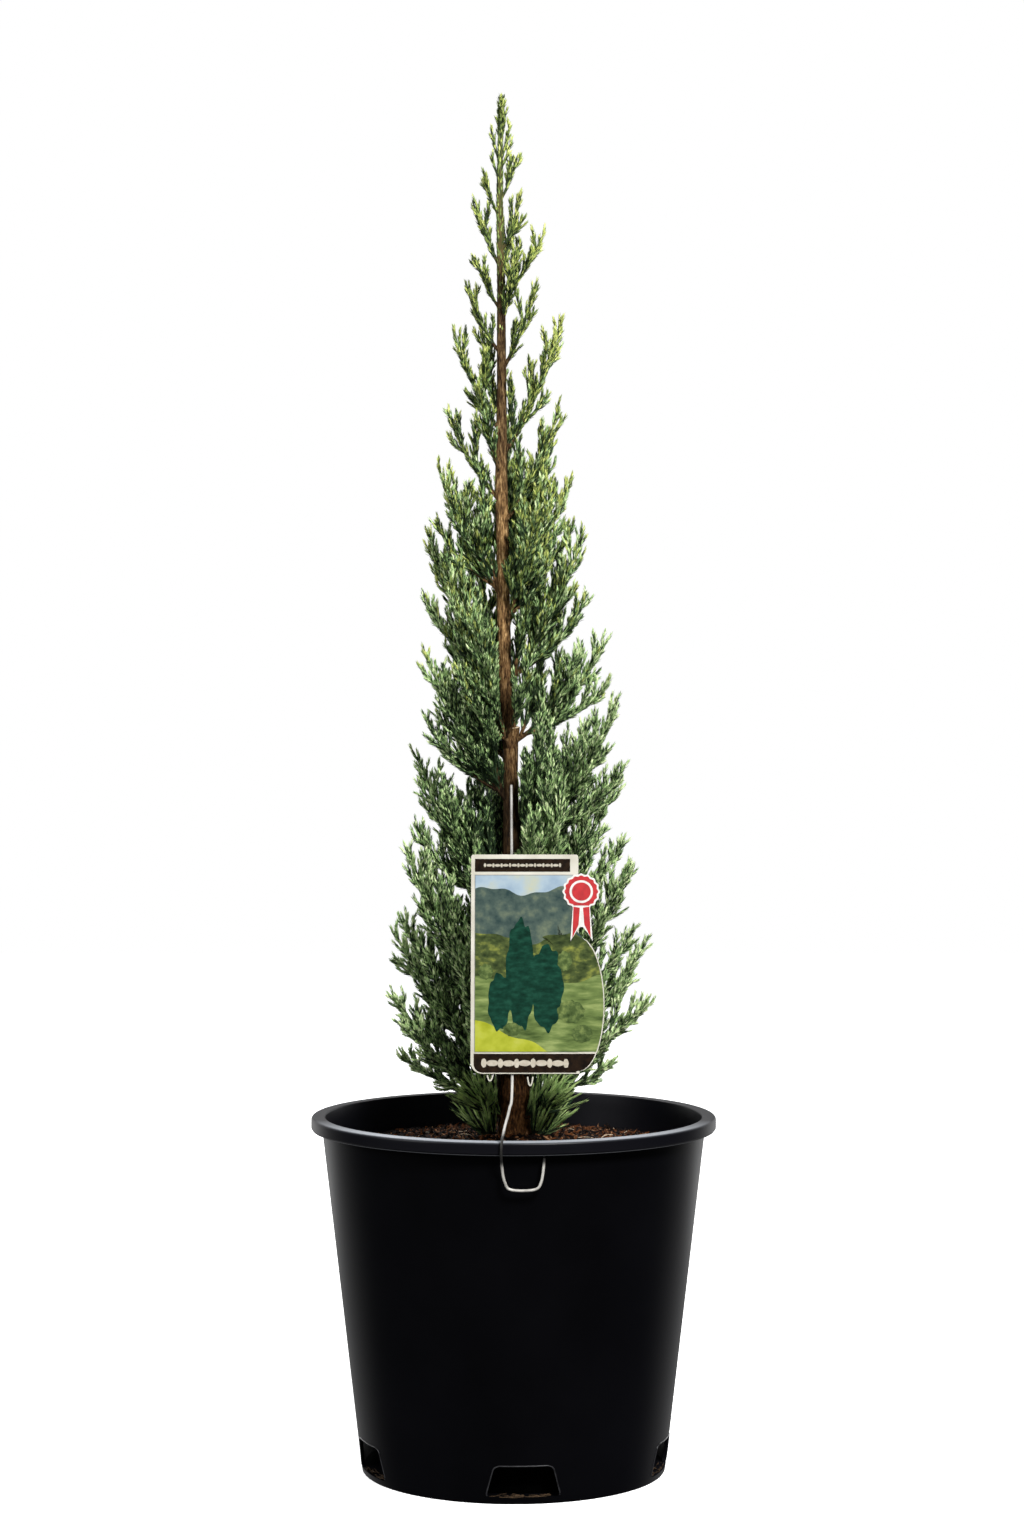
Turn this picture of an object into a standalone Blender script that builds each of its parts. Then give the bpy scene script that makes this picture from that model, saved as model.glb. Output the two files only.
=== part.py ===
# Young cone-shaped cypress in a nursery pot, with a picture card on a wire holder.
# Metres, +Z up. The origin is the centre of the pot's flat underside. The card faces -Y.

import math

import bmesh
import bpy
import numpy as np

GAP = 0.0003  # clearance kept between pieces that touch

# Nursery pot
POT_HEIGHT = 0.219
POT_RIM_RADIUS = 0.125
POT_BASE_RADIUS = 0.0938
POT_NECK_RADIUS = 0.1182  # outside of the wall, just under the rim band
POT_WALL = 0.002
POT_FLOOR = 0.0035
POT_EDGE_CHAMFER = 0.0008
RIM_BAND = 0.008  # height of the band folded down round the rim
RIM_ROUND = 0.0009
POT_SIDES = 44
NOTCH_COUNT = 5
NOTCH_TURN = 3.5  # degrees from the front to the first drain notch
NOTCH_LOW = 0.004
NOTCH_HIGH = 0.0234
NOTCH_WIDE = 0.045
NOTCH_NARROW = 0.035
NOTCH_CORNER = 0.003
NOTCH_CUT = 0.02  # how far the cutters reach to either side of the wall

# Potting mix: bark chips, lower at the wall and heaped round the trunk
MIX_EDGE_HEIGHT = 0.198
MIX_TOP_HEIGHT = 0.2077
MIX_TOP_RADIUS = 0.016
MIX_ROUGHNESS = 0.0011
MIX_STEP_IN = 0.011  # how far the mix stands back from the drain notches
MIX_SHOULDER = 0.004  # where it widens again, above the notches
MIX_SHOULDER_SLOPE = 0.006
MIX_RINGS = 5
MIX_CLEARANCE = 1.3 * GAP
MIX_SIDES = POT_SIDES // 2  # its corners stand in the pot's corners

# Trunk: height, sideways place, depth and radius at each station
TRUNK_STATIONS = (
    (0.2080, 0.0000, 0.000, 0.0118),
    (0.2180, 0.0000, 0.000, 0.0098),
    (0.2400, 0.0002, 0.000, 0.0087),
    (0.2900, -0.0004, 0.001, 0.0071),
    (0.3500, -0.0014, 0.002, 0.0056),
    (0.4300, -0.0018, 0.001, 0.0044),
    (0.4520, -0.0020, 0.000, 0.0049),
    (0.4760, -0.0050, -0.001, 0.0038),
    (0.5300, -0.0062, -0.001, 0.0041),
    (0.6100, -0.0076, 0.001, 0.0038),
    (0.6700, -0.0074, 0.002, 0.0030),
    (0.7300, -0.0077, 0.001, 0.0025),
    (0.7800, -0.0086, 0.000, 0.0020),
    (0.8220, -0.0082, 0.000, 0.0014),
)
TRUNK_SIDES = 12
FLARE_TOP = 0.235  # the root flare's ribs fade out at this height
FLARE_RIBS = 3
FLARE_DEPTH = 0.14
FLARE_TURN = 0.6

# Plumes of foliage. Each row: bearing in degrees (0 right, 90 back, 180 left, 270 front),
# height of the foot on the trunk, height of the tip and reach from the trunk, in metres.
LEFT_PLUMES = (
    (196, 0.772, 0.797, 0.010),
    (158, 0.741, 0.783, 0.016),
    (206, 0.715, 0.746, 0.017),
    (168, 0.688, 0.731, 0.022),
    (198, 0.640, 0.702, 0.031),
    (160, 0.597, 0.655, 0.036),
    (204, 0.538, 0.618, 0.042),
    (158, 0.480, 0.580, 0.050),
    (206, 0.410, 0.503, 0.053),
    (160, 0.338, 0.440, 0.062),
    (204, 0.272, 0.386, 0.070),
    (162, 0.236, 0.330, 0.077),
    (196, 0.224, 0.278, 0.071),
    (218, 0.2165, 0.2345, 0.050),
)
RIGHT_PLUMES = (
    (20, 0.782, 0.809, 0.011),
    (-26, 0.750, 0.784, 0.014),
    (14, 0.722, 0.764, 0.028),
    (-24, 0.678, 0.730, 0.023),
    (16, 0.625, 0.711, 0.039),
    (-22, 0.583, 0.653, 0.038),
    (22, 0.540, 0.612, 0.046),
    (-20, 0.482, 0.580, 0.053),
    (16, 0.448, 0.512, 0.066),
    (-24, 0.376, 0.474, 0.073),
    (24, 0.330, 0.426, 0.073),
    (-18, 0.268, 0.376, 0.077),
    (16, 0.240, 0.322, 0.086),
    (-12, 0.2235, 0.270, 0.063),
    (-40, 0.2165, 0.2320, 0.056),
)
FRONT_PLUMES = (
    (300, 0.705, 0.752, 0.017),
    (238, 0.612, 0.672, 0.026),
    (302, 0.520, 0.592, 0.040),
    (246, 0.442, 0.530, 0.046),
    (284, 0.305, 0.404, 0.054),
    (260, 0.236, 0.310, 0.062),
)
BACK_PLUMES = (
    (64, 0.735, 0.776, 0.015),
    (116, 0.645, 0.708, 0.028),
    (62, 0.550, 0.626, 0.043),
    (118, 0.430, 0.532, 0.056),
    (80, 0.320, 0.432, 0.068),
    (98, 0.232, 0.330, 0.076),
)
PLUMES = {"left": LEFT_PLUMES, "right": RIGHT_PLUMES, "front": FRONT_PLUMES, "back": BACK_PLUMES}
LEADER_TIP = 0.8495
LEADER_WIDTH = 0.006
BOUGH_FEET_ABOVE = 0.25  # plumes at the sides with feet between these heights hang on a bough
BOUGH_FEET_BELOW = 0.55
BOUGH_SHARE = 0.24  # part of the plume's line that is bare bough
BOUGH_SIDES = 6
BOUGH_STATIONS = 5
LIMB_RADIUS_LEAST = 0.0009
LIMB_RADIUS_SHARE = 0.0105  # a limb's radius at its foot, as a share of the plume's length
LIMB_TAPER = 0.68  # how much of it is lost by the tip
ELBOW_OUT = 0.62  # where the line's bend stands, as a share of the reach
ELBOW_UP = 0.40  # and of the rise
LINE_POINTS = 13

# Twigs and sprays of a plume
PLUME_WIDTH_LEAST = 0.0055
PLUME_WIDTH_SHARE = 0.175  # half width of a plume as a share of its length
TWIG_SPACING_LEAST = 0.0046
TWIG_SPACING_SHARE = 0.066
SIDE_SPRAY_PLACE = 0.30  # along the twig
SIDE_SPRAY_LENGTH = 0.72  # as a share of the twig's
SPRAY_SIDES = 4
SPRAY_BELLY = 0.40  # where along it a spray is widest
TEETH = ((1, 0.70), (5, 0.80))  # flank of the core that a side shoot stands on, and how far along
TOOTH_REACH = 2.9  # how far a spray's side shoots stand out, in radii of its core
SPRAY_RADIUS_LEAST = 0.0010
SPRAY_RADIUS_SHARE = 0.0080  # of the plume's length
TWIG_SPREAD = math.radians(43)  # between a twig and the stem that it leaves
SPRAY_SPREAD = math.radians(34)
TWIG_SIDES = 3
STEM_STATIONS = 5
STEM_END = 0.93  # of the plume's line, where the last spray takes over
LAST_SPRAY_ROOT = 0.83
TWIGS_FROM = 0.20  # of the stem; lower where the plume hangs on a bough
TWIGS_FROM_BOUGH = 0.06
TWIGS_TO = 0.90
TWIG_LENGTH_FOOT = 1.05  # a twig's length at the stem's foot, as a share of the plume's half width
TWIG_LENGTH_LOSS = 0.62  # how much of that is lost towards the tip
DENSE_BELOW = 0.60  # plumes with their tips below this height have a core
CORE_SIDES = 5
CORE_SHARE = 0.29  # the core's radius as a share of the plume's half width
CORE_ROUGHNESS = 0.22
CORED_SIDE_SPRAYS = 0.15  # share of a cored plume's twigs that still carry a plain spray
UPWARD = 0.30  # how strongly new growth turns up
GOLDEN_TURN = math.radians(137.508)
SHRINKS = (1.0, 0.75, 0.55)  # lengths that a twig or spray tries before it is left out
SPACE_GAP = 0.0006
TEST_POINTS = 6  # places along a shoot where its room is measured
TEST_FROM = 0.12  # the shoot's own root may stand in its stem
TWIG_TEST_FROM = 0.3
CARD_CLEARANCE = 0.003
RIM_CLEARANCE = 0.004

# Card on its wire, by width and by height along the lean, from the rim of the pot
WIRE_RADIUS = 0.00115
WIRE_LEAN = 0.32  # set back for each metre of rise
WIRE_FRONT = -0.1265  # where the wire crosses the height of the rim
WIRE_TOP = 0.4247
WIRE_SEAT = 0.00045  # clearance from the rim band
WIRE_TUCK_INSET = 0.0013  # the tucked end stands this much further in, off the middle of the rim
WIRE_LOOP = (  # sideways place, how deep it lies and height, from the tucked end round to the rim
    (0.0176, "tucked", 0.2145),
    (0.0176, "tucked", 0.2070),
    (0.0160, "loop", 0.1955),
    (0.0118, "loop", 0.1910),
    (-0.0016, "loop", 0.1910),
    (-0.0052, "loop", 0.1955),
    (-0.0067, "loop", 0.2030),
    (-0.0073, "over", 0.2120),
    (-0.0069, "over", 0.2195),
)
WIRE_RISE = (  # sideways place and height, up the lean behind the card
    (-0.0052, 0.2280),
    (-0.0025, 0.2380),
    (-0.0009, 0.2530),
    (-0.0010, 0.3400),
    (-0.0014, WIRE_TOP),
)
WIRE_STEPS = 2  # points of the curve for each point of its route
CARD_LEFT = -0.0252
CARD_RIGHT = 0.0384
CARD_LOW = 0.0403
CARD_HIGH = 0.1724
CARD_CORNER = 0.0070
CARD_THICKNESS = 0.0008
CARD_BULGE_MIDDLE = 0.0820
CARD_BULGE_HALF_HEIGHT = 0.0400
CARD_BULGE_WIDTH = 0.0148
CARD_TABS = ((-0.0138, 0.0036, 0.0057), (0.0096, 0.0040, 0.0084))  # place, width, length
STICKER_CENTRE = (0.0400, 0.1495)
STICKER_RADIUS = 0.0112
STICKER_TAIL = 0.0300
STICKER_TAIL_WIDTH = 0.0140
STICKER_TAIL_NOTCH = 0.0080
STICKER_THICKNESS = 0.0005


def remove_everything():
    for old in list(bpy.data.objects):
        bpy.data.objects.remove(old)


def material(name, colour, roughness, metallic=0.0):
    """A Principled material with the piece's plain colour."""
    made = bpy.data.materials.new(name)
    made.use_nodes = True
    shader = made.node_tree.nodes["Principled BSDF"]
    shader.inputs["Base Color"].default_value = (*colour, 1.0)
    shader.inputs["Roughness"].default_value = roughness
    shader.inputs["Metallic"].default_value = metallic
    return made


def mesh_object(name, points, faces, finish):
    """An object in the scene with this mesh, faces turned outwards."""
    mesh = bpy.data.meshes.new(name)
    mesh.from_pydata([tuple(map(float, point)) for point in points], [], faces)
    made = bpy.data.objects.new(name, mesh)
    bpy.context.scene.collection.objects.link(made)
    shell = bmesh.new()
    shell.from_mesh(mesh)
    bmesh.ops.recalc_face_normals(shell, faces=shell.faces)
    shell.to_mesh(mesh)
    shell.free()
    mesh.materials.append(finish)
    return made


def smooth(made, sharp_degrees=35):
    made.data.shade_smooth()
    made.data.set_sharp_from_angle(angle=math.radians(sharp_degrees))


def apply_modifiers(made):
    """Puts what the modifiers make into the object's own mesh."""
    graph = bpy.context.evaluated_depsgraph_get()
    mesh = bpy.data.meshes.new_from_object(made.evaluated_get(graph))
    made.modifiers.clear()
    made.data = mesh


def turned(name, profile, sides, finish):
    """A profile of (radius, height) points, from axis to axis, spun round the Z axis."""
    shell = bmesh.new()
    line = [shell.verts.new((radius, 0.0, height)) for radius, height in profile]
    edges = [shell.edges.new(pair) for pair in zip(line, line[1:])]
    bmesh.ops.spin(
        shell, geom=line + edges, cent=(0, 0, 0), axis=(0, 0, 1), angle=math.tau, steps=sides
    )
    bmesh.ops.remove_doubles(shell, verts=shell.verts, dist=1e-6)
    bmesh.ops.recalc_face_normals(shell, faces=shell.faces)
    mesh = bpy.data.meshes.new(name)
    shell.to_mesh(mesh)
    shell.free()
    mesh.materials.append(finish)
    made = bpy.data.objects.new(name, mesh)
    bpy.context.scene.collection.objects.link(made)
    return made


def wall_radius(height):
    """Outside radius of the pot's wall at a height."""
    share = height / (POT_HEIGHT - RIM_BAND)
    return POT_BASE_RADIUS + (POT_NECK_RADIUS - POT_BASE_RADIUS) * share


def inside_radius(height):
    """Inside radius of the pot's wall at a height."""
    low = (wall_radius(POT_FLOOR) - POT_WALL, POT_FLOOR)
    high = (POT_NECK_RADIUS - POT_WALL, POT_HEIGHT - RIM_ROUND)
    return low[0] + (high[0] - low[0]) * (height - low[1]) / (high[1] - low[1])


def corner_arc(centre, radius, start, end, steps):
    """Points round a corner, from one angle to another, in degrees."""
    angles = [math.radians(start + (end - start) * i / steps) for i in range(steps + 1)]
    return [
        (centre[0] + radius * math.cos(a), centre[1] + radius * math.sin(a)) for a in angles
    ]


def make_pot():
    """Tapered wall with a floor, a folded-down rim band and drain notches round the foot."""
    under_rim = POT_HEIGHT - RIM_BAND
    lip_top = POT_HEIGHT - POT_WALL
    profile = [(0.0, 0.0), (POT_BASE_RADIUS - POT_EDGE_CHAMFER, 0.0)]
    profile += [(POT_BASE_RADIUS, POT_EDGE_CHAMFER), (wall_radius(under_rim), under_rim)]
    profile += [(POT_NECK_RADIUS, lip_top), (POT_RIM_RADIUS - POT_WALL, lip_top)]
    profile += [(POT_RIM_RADIUS - POT_WALL, under_rim), (POT_RIM_RADIUS, under_rim)]
    outer = (POT_RIM_RADIUS - RIM_ROUND, POT_HEIGHT - RIM_ROUND)
    inner = (POT_NECK_RADIUS - POT_WALL + RIM_ROUND, POT_HEIGHT - RIM_ROUND)
    profile += corner_arc(outer, RIM_ROUND, 0, 90, 2)
    profile += corner_arc(inner, RIM_ROUND, 90, 180, 2)
    profile += [(inside_radius(POT_FLOOR), POT_FLOOR), (0.0, POT_FLOOR)]
    plastic = material("black plastic", (0.010, 0.010, 0.012), 0.45)
    pot = turned("pot", profile, POT_SIDES, plastic)
    for index in range(NOTCH_COUNT):
        cutter = notch_cutter(index)
        cut = pot.modifiers.new("Drain notch", "BOOLEAN")
        cut.operation = "DIFFERENCE"
        cut.solver = "EXACT"
        cut.object = cutter
    smooth(pot)


def notch_cutter(index):
    """A block with a rounded outline, narrower at the top, pointing out from the pot's axis."""
    reach = (POT_BASE_RADIUS - NOTCH_CUT, POT_BASE_RADIUS + NOTCH_CUT)
    lean = (NOTCH_WIDE - NOTCH_NARROW) / 2
    half = NOTCH_WIDE / 2 - NOTCH_CORNER
    low = NOTCH_LOW + NOTCH_CORNER
    high = NOTCH_HIGH - NOTCH_CORNER
    outline = corner_arc((-half, low), NOTCH_CORNER, 270, 180, 2)
    outline += corner_arc((-half + lean, high), NOTCH_CORNER, 180, 90, 2)
    outline += corner_arc((half - lean, high), NOTCH_CORNER, 90, 0, 2)
    outline += corner_arc((half, low), NOTCH_CORNER, 0, -90, 2)
    count = len(outline)
    points = [(across, -out, up) for out in reach for across, up in outline]
    faces = [list(range(count)), list(range(count, 2 * count))]
    faces += [(i, (i + 1) % count, (i + 1) % count + count, i + count) for i in range(count)]
    cutter = mesh_object(f"notch_cutter_{index}", points, faces, None)
    cutter.rotation_euler.z = math.radians(NOTCH_TURN + index * 360 / NOTCH_COUNT)
    cutter.hide_render = True
    cutter.display_type = "WIRE"
    return cutter


def mix_height(radius):
    """Height of the potting mix at a distance from the axis, before its roughness."""
    edge = inside_radius(MIX_EDGE_HEIGHT)
    share = np.clip((radius - MIX_TOP_RADIUS) / (edge - MIX_TOP_RADIUS), 0.0, 1.0)
    return MIX_TOP_HEIGHT - (MIX_TOP_HEIGHT - MIX_EDGE_HEIGHT) * share**0.8


def make_potting_mix():
    """Fills the pot 0.3 mm clear of the wall, with an uneven heaped top."""
    low = POT_FLOOR + GAP
    shoulder = NOTCH_HIGH + MIX_SHOULDER
    wide = shoulder + MIX_SHOULDER_SLOPE
    foot = inside_radius(low) - MIX_STEP_IN
    profile = [(0.0, low), (foot, low), (foot, shoulder)]
    profile += [(inside_radius(wide) - MIX_CLEARANCE, wide)]
    top_edge = inside_radius(MIX_EDGE_HEIGHT) - MIX_CLEARANCE
    profile += [(top_edge, MIX_EDGE_HEIGHT)]
    steps = np.linspace(0.0, 1.0, MIX_RINGS + 1)[1:]
    rings = top_edge + (MIX_TOP_RADIUS - top_edge) * steps
    profile += [(radius, float(mix_height(radius))) for radius in rings]
    profile += [(0.0, MIX_TOP_HEIGHT)]
    chips = material("bark chips", (0.10, 0.05, 0.03), 0.95)
    mix = turned("potting_mix", profile, MIX_SIDES, chips)
    rough = np.random.default_rng(11)
    for vertex in mix.data.vertices:
        radius = math.hypot(vertex.co.x, vertex.co.y)
        on_top = vertex.co.z > MIX_EDGE_HEIGHT + GAP and radius > MIX_TOP_RADIUS + GAP
        if on_top:
            vertex.co.z += rough.uniform(-MIX_ROUGHNESS, MIX_ROUGHNESS)
    smooth(mix, 20)


def trunk_at(height):
    """Centre (x, y) and plain radius of the trunk at a height, or at an array of heights."""
    table = np.array(TRUNK_STATIONS)
    return [np.interp(height, table[:, 0], table[:, k]) for k in (1, 2, 3)]


def trunk_skin(height, angle):
    """Radius of the trunk in a direction, ribbed where the roots begin."""
    fade = np.clip((FLARE_TOP - height) / (FLARE_TOP - TRUNK_STATIONS[0][0]), 0.0, 1.0)
    return trunk_at(height)[2] * (1 + FLARE_DEPTH * fade * np.cos(FLARE_RIBS * angle + FLARE_TURN))


def make_trunk():
    """Rings stacked up the trunk's line."""
    points = []
    heights = [station[0] for station in TRUNK_STATIONS]
    for height in heights:
        x, y, _ = trunk_at(height)
        for side in range(TRUNK_SIDES):
            angle = math.tau * side / TRUNK_SIDES
            across = trunk_skin(height, angle)
            points.append((x + across * math.cos(angle), y + across * math.sin(angle), height))
    bark = material("trunk bark", (0.16, 0.08, 0.05), 0.9)
    smooth(mesh_object("trunk", points, ring_faces(len(heights), TRUNK_SIDES), bark))


def ring_faces(rings, sides):
    """Faces between rings of points, with both ends closed."""
    faces = [list(range(sides)), list(range((rings - 1) * sides, rings * sides))]
    for ring in range(rings - 1):
        for side in range(sides):
            low, next_low = ring * sides + side, ring * sides + (side + 1) % sides
            faces.append((low, next_low, next_low + sides, low + sides))
    return faces


def unit(vector):
    return vector / np.linalg.norm(vector)


def crosswise(direction):
    """Two unit vectors square to a direction, the second pointing as far down as it can."""
    down = np.array((0.0, 0.0, -1.0))
    side = np.cross(direction, down)
    if np.linalg.norm(side) < 1e-3:
        side = np.array((1.0, 0.0, 0.0))
    side = unit(side)
    return side, unit(np.cross(side, direction))


def tube(line, radii, sides):
    """A tapering limb along a line of points, its ends square to the line."""
    points = []
    for index, centre in enumerate(line):
        before = line[max(index - 1, 0)]
        after = line[min(index + 1, len(line) - 1)]
        side, low = crosswise(unit(after - before))
        for step in range(sides):
            angle = math.tau * step / sides
            points.append(centre + radii[index] * (math.sin(angle) * side - math.cos(angle) * low))
    return points, ring_faces(len(line), sides)


def spindle(root, tip, radius, sides, turn):
    """A plain spray: pointed at both ends and widest at its belly."""
    direction = unit(tip - root)
    side, low = crosswise(direction)
    middle = root + (tip - root) * SPRAY_BELLY
    angles = turn + np.arange(sides) * math.tau / sides
    ring = middle + radius * (np.outer(np.cos(angles), low) + np.outer(np.sin(angles), side))
    points = [root, *ring, tip]
    last = sides + 1
    faces = []
    for index in range(sides):
        here, after = index + 1, (index + 1) % sides + 1
        faces += [(0, after, here), (here, after, last)]
    return points, faces


def toothed_spray(root, tip, radius, turn):
    """A slim four-sided core with a short side shoot standing out of two of its flanks."""
    points, faces = spindle(root, tip, radius, SPRAY_SIDES, turn)
    direction = unit(tip - root)
    length = np.linalg.norm(tip - root)
    for index, along in TEETH:
        corners = faces[index]
        middle = np.mean([points[corner] for corner in corners], axis=0)
        out = middle - (root + direction * np.dot(middle - root, direction))
        tooth = root + direction * length * along + unit(out) * radius * TOOTH_REACH
        points.append(tooth)
        new = len(points) - 1
        a, b, c = corners
        faces[index] = (a, b, new)
        faces += [(b, c, new), (c, a, new)]
    return points, faces


class Plume:
    """One mass of foliage: the line from its foot on the trunk to its tip, and its limb."""

    def __init__(self, name, bearing, foot, tip, reach, seed):
        self.name = name
        self.seed = seed
        self.out = np.array((math.cos(math.radians(bearing)), math.sin(math.radians(bearing)), 0.0))
        foot_x, foot_y, _ = trunk_at(foot)
        tip_x, tip_y, _ = trunk_at(tip)
        start = np.array((foot_x, foot_y, foot))
        end = np.array((tip_x, tip_y, tip)) + reach * self.out
        bend = start + ELBOW_OUT * reach * self.out + np.array((0, 0, ELBOW_UP * (tip - foot)))
        self.start, self.bend, self.end = start, bend, end
        self.length = float(np.linalg.norm(end - start))
        at_the_side = abs(self.out[0]) > abs(self.out[1])
        self.has_bough = at_the_side and BOUGH_FEET_ABOVE < foot < BOUGH_FEET_BELOW
        self.limb_radius = LIMB_RADIUS_LEAST + LIMB_RADIUS_SHARE * self.length
        self.leave = self.share_clear_of_trunk()
        self.join = BOUGH_SHARE if self.has_bough else self.leave
        self.half_width = PLUME_WIDTH_LEAST + PLUME_WIDTH_SHARE * self.length
        self.core = CORE_SHARE * self.half_width if tip < DENSE_BELOW else 0.0

    def share_clear_of_trunk(self):
        """Where the limb's square end, tilted back with the limb, first stands clear of the trunk."""
        shares = np.linspace(0.0, 0.5, 5001)  # fine enough for a tenth of the gap
        x, y, height = self.point(shares).T
        trunk_x, trunk_y, _ = trunk_at(height)
        skin = trunk_skin(height, math.atan2(self.out[1], self.out[0]))
        tilt = self.limb_radius * abs(unit(self.bend - self.start)[2])
        clear = np.hypot(x - trunk_x, y - trunk_y) > skin + GAP + tilt
        return float(shares[np.argmax(clear)])

    def point(self, share):
        share = np.atleast_1d(share)[:, None]
        early, late = 1 - share, share
        return early**2 * self.start + 2 * early * late * self.bend + late**2 * self.end

    def way(self, share):
        """Direction of growth a share of the way along."""
        return unit((1 - share) * (self.bend - self.start) + share * (self.end - self.bend))

    def radius(self, share):
        return self.limb_radius * (1 - LIMB_TAPER * share)

    def line(self):
        return self.point(np.linspace(self.leave, 1.0, LINE_POINTS))


class Leader(Plume):
    """The top shoot, straight up from the trunk's tip."""

    def __init__(self, seed):
        x, y, radius = trunk_at(TRUNK_STATIONS[-1][0])
        self.name = "foliage_leader"
        self.seed = seed
        self.out = np.array((1.0, 0.0, 0.0))
        self.start = np.array((x, y, TRUNK_STATIONS[-1][0] + GAP))
        self.end = np.array((x + 0.001, y, LEADER_TIP))
        self.bend = (self.start + self.end) / 2
        self.length = float(np.linalg.norm(self.end - self.start))
        self.has_bough = False
        self.limb_radius = radius
        self.leave = 0.0
        self.join = 0.0
        self.half_width = LEADER_WIDTH
        self.core = 0.0


def all_plumes():
    """Every plume of the crown, named by its side and counted from the top."""
    plumes = [Leader(0)]
    for side, rows in PLUMES.items():
        for index, row in enumerate(rows, 1):
            plumes.append(Plume(f"foliage_{side}_{index:02d}", *row, seed=len(plumes)))
    return plumes


def distance_to_lines(points, starts, ends):
    """Distance from each point to each straight stretch: a table of points by stretches."""
    along = ends - starts
    reach = np.maximum((along**2).sum(1), 1e-12)
    share = np.clip(((points[:, None] - starts) * along).sum(2) / reach, 0.0, 1.0)
    nearest = starts + share[..., None] * along
    return np.linalg.norm(points[:, None] - nearest, axis=2)


class Space:
    """Says whether a new shoot keeps to its plume's own space and clear of everything rigid."""

    def __init__(self, plumes):
        self.plumes = plumes
        lines = [plume.line() for plume in plumes]
        self.starts = np.concatenate([line[:-1] for line in lines])
        self.ends = np.concatenate([line[1:] for line in lines])
        self.owner = np.repeat(np.arange(len(plumes)), LINE_POINTS - 1)
        widest = [max(plume.limb_radius, plume.core) for plume in plumes]
        self.thickness = np.repeat(widest, LINE_POINTS - 1)
        self.trunk = np.array(TRUNK_STATIONS)

    def holds(self, owner, root, tip, radius):
        """Room is half the way to a neighbour's line, less this shoot's width there."""
        steps = np.linspace(TEST_FROM, 1.0, TEST_POINTS)
        points = root + (tip - root) * steps[:, None]
        widths = radius * np.minimum(1.0, 2.2 * (1.08 - steps))  # slimmer near the tip
        distance = distance_to_lines(points, self.starts, self.ends)
        mine = self.owner == owner
        own = distance[:, mine].min(1)
        others = distance[:, ~mine]
        room = np.minimum((others - own[:, None]) / 2, others - self.thickness[~mine]).min(1)
        if (room < widths + SPACE_GAP).any():
            return False
        return self.clear_of_trunk(points, widths) and self.clear_of_pot_and_card(points, widths)

    def clear_of_trunk(self, points, widths):
        heights = points[:, 2]
        x, y, radius = (np.interp(heights, self.trunk[:, 0], self.trunk[:, k]) for k in (1, 2, 3))
        beside = np.hypot(points[:, 0] - x, points[:, 1] - y) - radius * (1 + FLARE_DEPTH)
        above = heights - self.trunk[-1, 0]
        return bool(np.all((beside > widths + SPACE_GAP) | (above > 0)))

    def clear_of_pot_and_card(self, points, widths):
        out = np.hypot(points[:, 0], points[:, 1])
        over_mix = points[:, 2] - mix_height(out) > widths + MIX_ROUGHNESS + SPACE_GAP
        inside_rim = out + widths < POT_NECK_RADIUS - 2 * POT_WALL
        above_rim = points[:, 2] > POT_HEIGHT + RIM_CLEARANCE
        wire = WIRE_FRONT + WIRE_LEAN * (points[:, 2] - POT_HEIGHT)
        behind = points[:, 1] - widths > wire + CARD_CLEARANCE
        above_wire = points[:, 2] > WIRE_TOP + 2 * CARD_CLEARANCE
        return bool(np.all(over_mix & (inside_rim | above_rim) & (behind | above_wire)))


def grow(plume, owner, space):
    """The plume's stem, then its twigs and sprays: a list of closed shapes to be joined."""
    draw = np.random.default_rng(100 + plume.seed)
    shapes = [stem(plume, draw)]
    tip_root = plume.point(LAST_SPRAY_ROOT)[0]
    shapes.append(toothed_spray(tip_root, plume.end, spray_radius(plume), draw.uniform(0, 1)))

    covered = plume.length * (STEM_END - plume.join)
    spacing = TWIG_SPACING_LEAST + TWIG_SPACING_SHARE * covered
    count = max(3, round(covered / spacing))
    turn = draw.uniform(0, math.tau)
    inner = TWIGS_FROM_BOUGH if plume.has_bough else TWIGS_FROM
    for index in range(count):
        turn += GOLDEN_TURN
        along = inner + (TWIGS_TO - inner) * (index + 0.5) / count
        share = plume.join + (STEM_END - plume.join) * along
        root = plume.point(share)[0]
        way = plume.way(share)
        side, low = crosswise(way)
        radial = math.cos(turn) * low + math.sin(turn) * side
        heading = unit(math.cos(TWIG_SPREAD) * way + math.sin(TWIG_SPREAD) * radial + (0, 0, UPWARD))
        size = TWIG_LENGTH_FOOT - TWIG_LENGTH_LOSS * along**1.5
        wanted = plume.half_width / math.sin(TWIG_SPREAD) * size
        shapes += twig(plume, owner, space, draw, root, heading, wanted)
    return shapes


def stem(plume, draw):
    """The plume's own stem, swelling into a rough core where the foliage is dense."""
    stations = STEM_STATIONS + (2 if plume.core else 0)
    shares = np.linspace(plume.join, STEM_END, stations)
    line = plume.point(shares)
    if plume.has_bough:
        line[0] = line[0] + plume.way(plume.join) * GAP
    radii = plume.radius(shares)
    if not plume.core:
        return tube(line, radii, TWIG_SIDES)
    swell = np.sin(np.linspace(0, math.pi, stations)) ** 0.8
    swell[:2] = 0.0
    radii = np.maximum(radii, plume.core * swell)
    points, faces = tube(line, radii, CORE_SIDES)
    for index in range(2 * CORE_SIDES, len(points) - CORE_SIDES):
        centre = line[index // CORE_SIDES]
        points[index] = centre + (points[index] - centre) * draw.uniform(1 - CORE_ROUGHNESS, 1)
    return points, faces


def spray_radius(plume):
    return SPRAY_RADIUS_LEAST + SPRAY_RADIUS_SHARE * plume.length


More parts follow.
